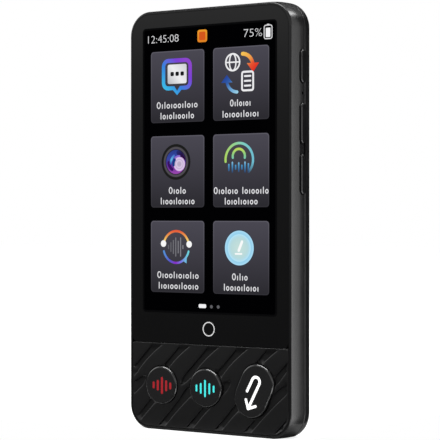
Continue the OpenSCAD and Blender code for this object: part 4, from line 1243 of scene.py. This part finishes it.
def faded(tree, value, low, high):
    """A soft rise from 0 where the value is low to 1 where it is high."""
    made = node(tree, "ShaderNodeMapRange", {"Value": value, "From Min": low, "From Max": high},
                interpolation_type="SMOOTHSTEP")
    return made.outputs["Result"]


class SetStage(bpy.types.Operator):
    """Pale floor, even surroundings, a black flag, six softboxes and the camera"""
    bl_idname = "translator.set_stage"
    bl_label = "Set the Stage"

    def execute(self, context):
        studio = context.scene.studio_settings
        self.floor()
        self.surroundings(context.scene, studio)
        self.flag()
        middle = Vector((0, 0, 0.06))
        self.softbox("side_softbox", (0.957, 0.284, -0.3), middle, (1.075, 1.1), studio.side_light)
        self.softbox("low_softbox", (0.71, -0.50, -0.45), middle, (0.4, 0.42), 1.3 * studio.side_light)
        above = (-0.17, -0.45, 0.96)
        self.softbox("top_softbox", above, Vector((*above[:2], 0)), (0.8, 0.3), studio.top_light)
        self.softbox("rim_softbox", (0.30, -0.39, 0.93), middle, (0.16, 0.16), 1.5 * studio.top_light)
        self.softbox("left_softbox", (-0.86, -0.32, 0.44), middle, (0.5, 0.5), studio.left_light)
        self.softbox("corner_softbox", (0.17, 0.62, 0.86), middle, (0.95, 0.5), 2.6 * studio.corner_light)
        self.camera(context.scene, studio)
        context.scene.view_settings.view_transform = "Standard"
        return {"FINISHED"}

    def floor(self):
        """A pale sheet that reaches far behind the device and a little way in front of it."""
        left, right, front, rear = -2.5, 0.032, -0.012, 3.0
        tone, lifted = (0.32, 0.32, 0.32), 0.82   # its own grey, and the light that makes it pale
        made, tree, shader = material("floor_paper")
        # Painted shadow: mirrors and glass see the floor's glow fade out under the device.
        pale = combined(tree, "MULTIPLY", self.looked_at(tree, self.outside_painted_shadow(tree)), lifted)
        feed(shader, {"Base Color": tinted(tree, noise(tree, 8 * MM, 4), tone, 0.01), "Roughness": 0.9,
                      "Specular IOR Level": 0.1, "Emission Color": (1, 1, 1, 1), "Emission Strength": pale})
        mesh = bmesh.new()
        corners = ((left, front), (right, front), (right, rear), (left, rear))
        mesh.faces.new([mesh.verts.new((x, y, 0)) for x, y in corners])
        sheet = linked("floor", mesh, [made])

    def outside_painted_shadow(self, tree):
        """Painted shadow: 0 in an oval right under the device, where mirrors and glass see no glow on the
        floor, and 1 further off.
        """
        across, along = 0.045, 0.02   # half lengths of the shaded oval
        place = node(tree, "ShaderNodeTexCoord").outputs["Object"]
        squash = node(tree, "ShaderNodeVectorMath", {0: place, 1: (1 / across, 1 / along, 0)},
                      operation="MULTIPLY")
        away = node(tree, "ShaderNodeVectorMath", {0: squash.outputs["Vector"]}, operation="LENGTH")
        return faded(tree, away.outputs["Value"], 0.8, 1.7)

    def looked_at(self, tree, mirrored=None):
        """1 for light that goes to the camera, to a mirror or through glass, and 0 otherwise.
        For mirrors and glass the value mirrored may stand in for the 1."""
        path = node(tree, "ShaderNodeLightPath").outputs
        value = combined(tree, "MAXIMUM", path["Is Glossy Ray"], path["Is Transmission Ray"])
        if mirrored is not None:
            value = combined(tree, "MULTIPLY", value, mirrored)
        return combined(tree, "MAXIMUM", path["Is Camera Ray"], value)

    def surroundings(self, scene, studio):
        """White to the camera; in mirrors white behind the device and a dim room before it."""
        world = bpy.data.worlds.new("studio")
        scene.world = world
        world.use_nodes = True
        tree = world.node_tree
        tree.nodes.clear()
        place = node(tree, "ShaderNodeTexCoord").outputs["Generated"]
        split = node(tree, "ShaderNodeSeparateXYZ", {0: place}).outputs
        height = node(tree, "ShaderNodeMapRange", {"Value": split["Z"], "From Min": -1})
        room = node(tree, "ShaderNodeValToRGB", {"Fac": height.outputs["Result"]})
        # from straight down at 0 over the horizon at 0.5 to straight up at 1
        greys = ((0.0, 0.05), (0.468, 0.088), (0.505, 0.14), (0.53, 0.2), (0.545, 0.33), (0.56, 0.56),
                 (0.6, 0.7), (0.8, 0.3))
        set_ramp(room, [(way, (grey, grey, grey)) for way, grey in greys])
        behind = faded(tree, split["Y"], 0.25, 0.65)
        mirrored = whitened(tree, behind, room.outputs["Color"])
        seen_straight = node(tree, "ShaderNodeLightPath").outputs["Is Camera Ray"]
        backdrop = node(tree, "ShaderNodeBackground", {"Color": whitened(tree, seen_straight, mirrored)})
        fill = node(tree, "ShaderNodeBackground", {"Color": (studio.fill, studio.fill, studio.fill, 1)})
        mix = node(tree, "ShaderNodeMixShader", {"Fac": self.looked_at(tree), 1: fill.outputs[0],
                                                 2: backdrop.outputs[0]})
        node(tree, "ShaderNodeOutputWorld", {"Surface": mix.outputs[0]})

    def flag(self):
        """A black flag behind the device, seen by mirrors alone, that gives its edges a dark line."""
        outline = ((-0.17, -0.03), (0.070, -0.03), (0.070, 0.152), (0.05, 0.165), (0.035, 0.21), (0, 0.3),
                   (-0.17, 0.3))
        depth = 0.05
        mesh = bmesh.new()
        mesh.faces.new([mesh.verts.new((x, depth, z)) for x, z in outline])
        cloth = flecked("flag_cloth", (0.004, 0.004, 0.004), 0.9, 5 * MM, shine=0.0)
        made = linked("flag", mesh, [cloth])
        made.visible_camera = False
        made.visible_diffuse = False
        made.visible_shadow = False
        made.visible_transmission = False

    def softbox(self, name, place, aim, size, radiance):
        """A rectangle of light, as bright as radiance from wherever it is seen."""
        light = bpy.data.lights.new(name, "AREA")
        light.shape = "RECTANGLE"
        light.size, light.size_y = size
        light.energy = 4 * radiance * size[0] * size[1]
        lamp = bpy.data.objects.new(name, light)
        lamp.location = place
        lamp.rotation_euler = (aim - Vector(place)).to_track_quat("-Z", "Y").to_euler()
        lamp.visible_camera = False
        bpy.context.scene.collection.objects.link(lamp)

    def camera(self, scene, studio):
        """The camera at the height of the device's middle, looking level."""
        data = bpy.data.cameras.new("camera")
        data.lens = studio.lens
        data.sensor_width = 36     # mm
        data.shift_y = -0.00625    # puts the device at the right height in the frame
        data.clip_start = 0.01
        eye = bpy.data.objects.new("camera", data)
        eye.location = studio.camera_place
        eye.rotation_euler = (math.pi / 2, 0, studio.camera_turn)
        scene.collection.objects.link(eye)
        scene.camera = eye


# ---- add-on ------------------------------------------------------------------------------

STEPS = (SetStage, FinishHousing, FinishGlass, MakeKeyPanel, FinishKeys, PrintKeyLegends, PrintHomeRing,
         LightScreen, DrawStatusBar, DrawSpeechIcon, DrawExchangeIcon, DrawLensIcon, DrawRecordIcon,
         DrawHeadsetIcon, DrawPenIcon, DrawCaptions, DrawPager, FinishRear, FinishInside)

GROUPS = {"translator_finish": TranslatorFinish, "key_panel_relief": KeyPanelRelief,
          "screen_layout": ScreenLayout, "key_legends": KeyLegends, "studio_settings": StudioSettings}


class TranslatorPanel(bpy.types.Panel):
    """Sizes, colours and steps of the handheld translator"""
    bl_idname = "VIEW3D_PT_translator"
    bl_label = "Handheld Translator"
    bl_space_type = "VIEW_3D"
    bl_region_type = "UI"
    bl_category = "Translator"

    def draw(self, context):
        for name, group in GROUPS.items():
            box = self.layout.box()
            box.label(text=name.replace("_", " ").capitalize())
            for prop in group.__annotations__:
                box.prop(getattr(context.scene, name), prop)
        for step in STEPS:
            self.layout.operator(step.bl_idname)


def register():
    for made in (*GROUPS.values(), *STEPS, TranslatorPanel):
        bpy.utils.register_class(made)
    for name, group in GROUPS.items():
        setattr(bpy.types.Scene, name, PointerProperty(type=group))


def unregister():
    for name in GROUPS:
        delattr(bpy.types.Scene, name)
    for made in reversed((*GROUPS.values(), *STEPS, TranslatorPanel)):
        bpy.utils.unregister_class(made)


def main():
    register()
    for step in STEPS:
        category, name = step.bl_idname.split(".")
        result = getattr(getattr(bpy.ops, category), name)()
        if "FINISHED" not in result:
            raise RuntimeError(f"{step.bl_idname} didn't finish")


if __name__ == "__main__":
    main()
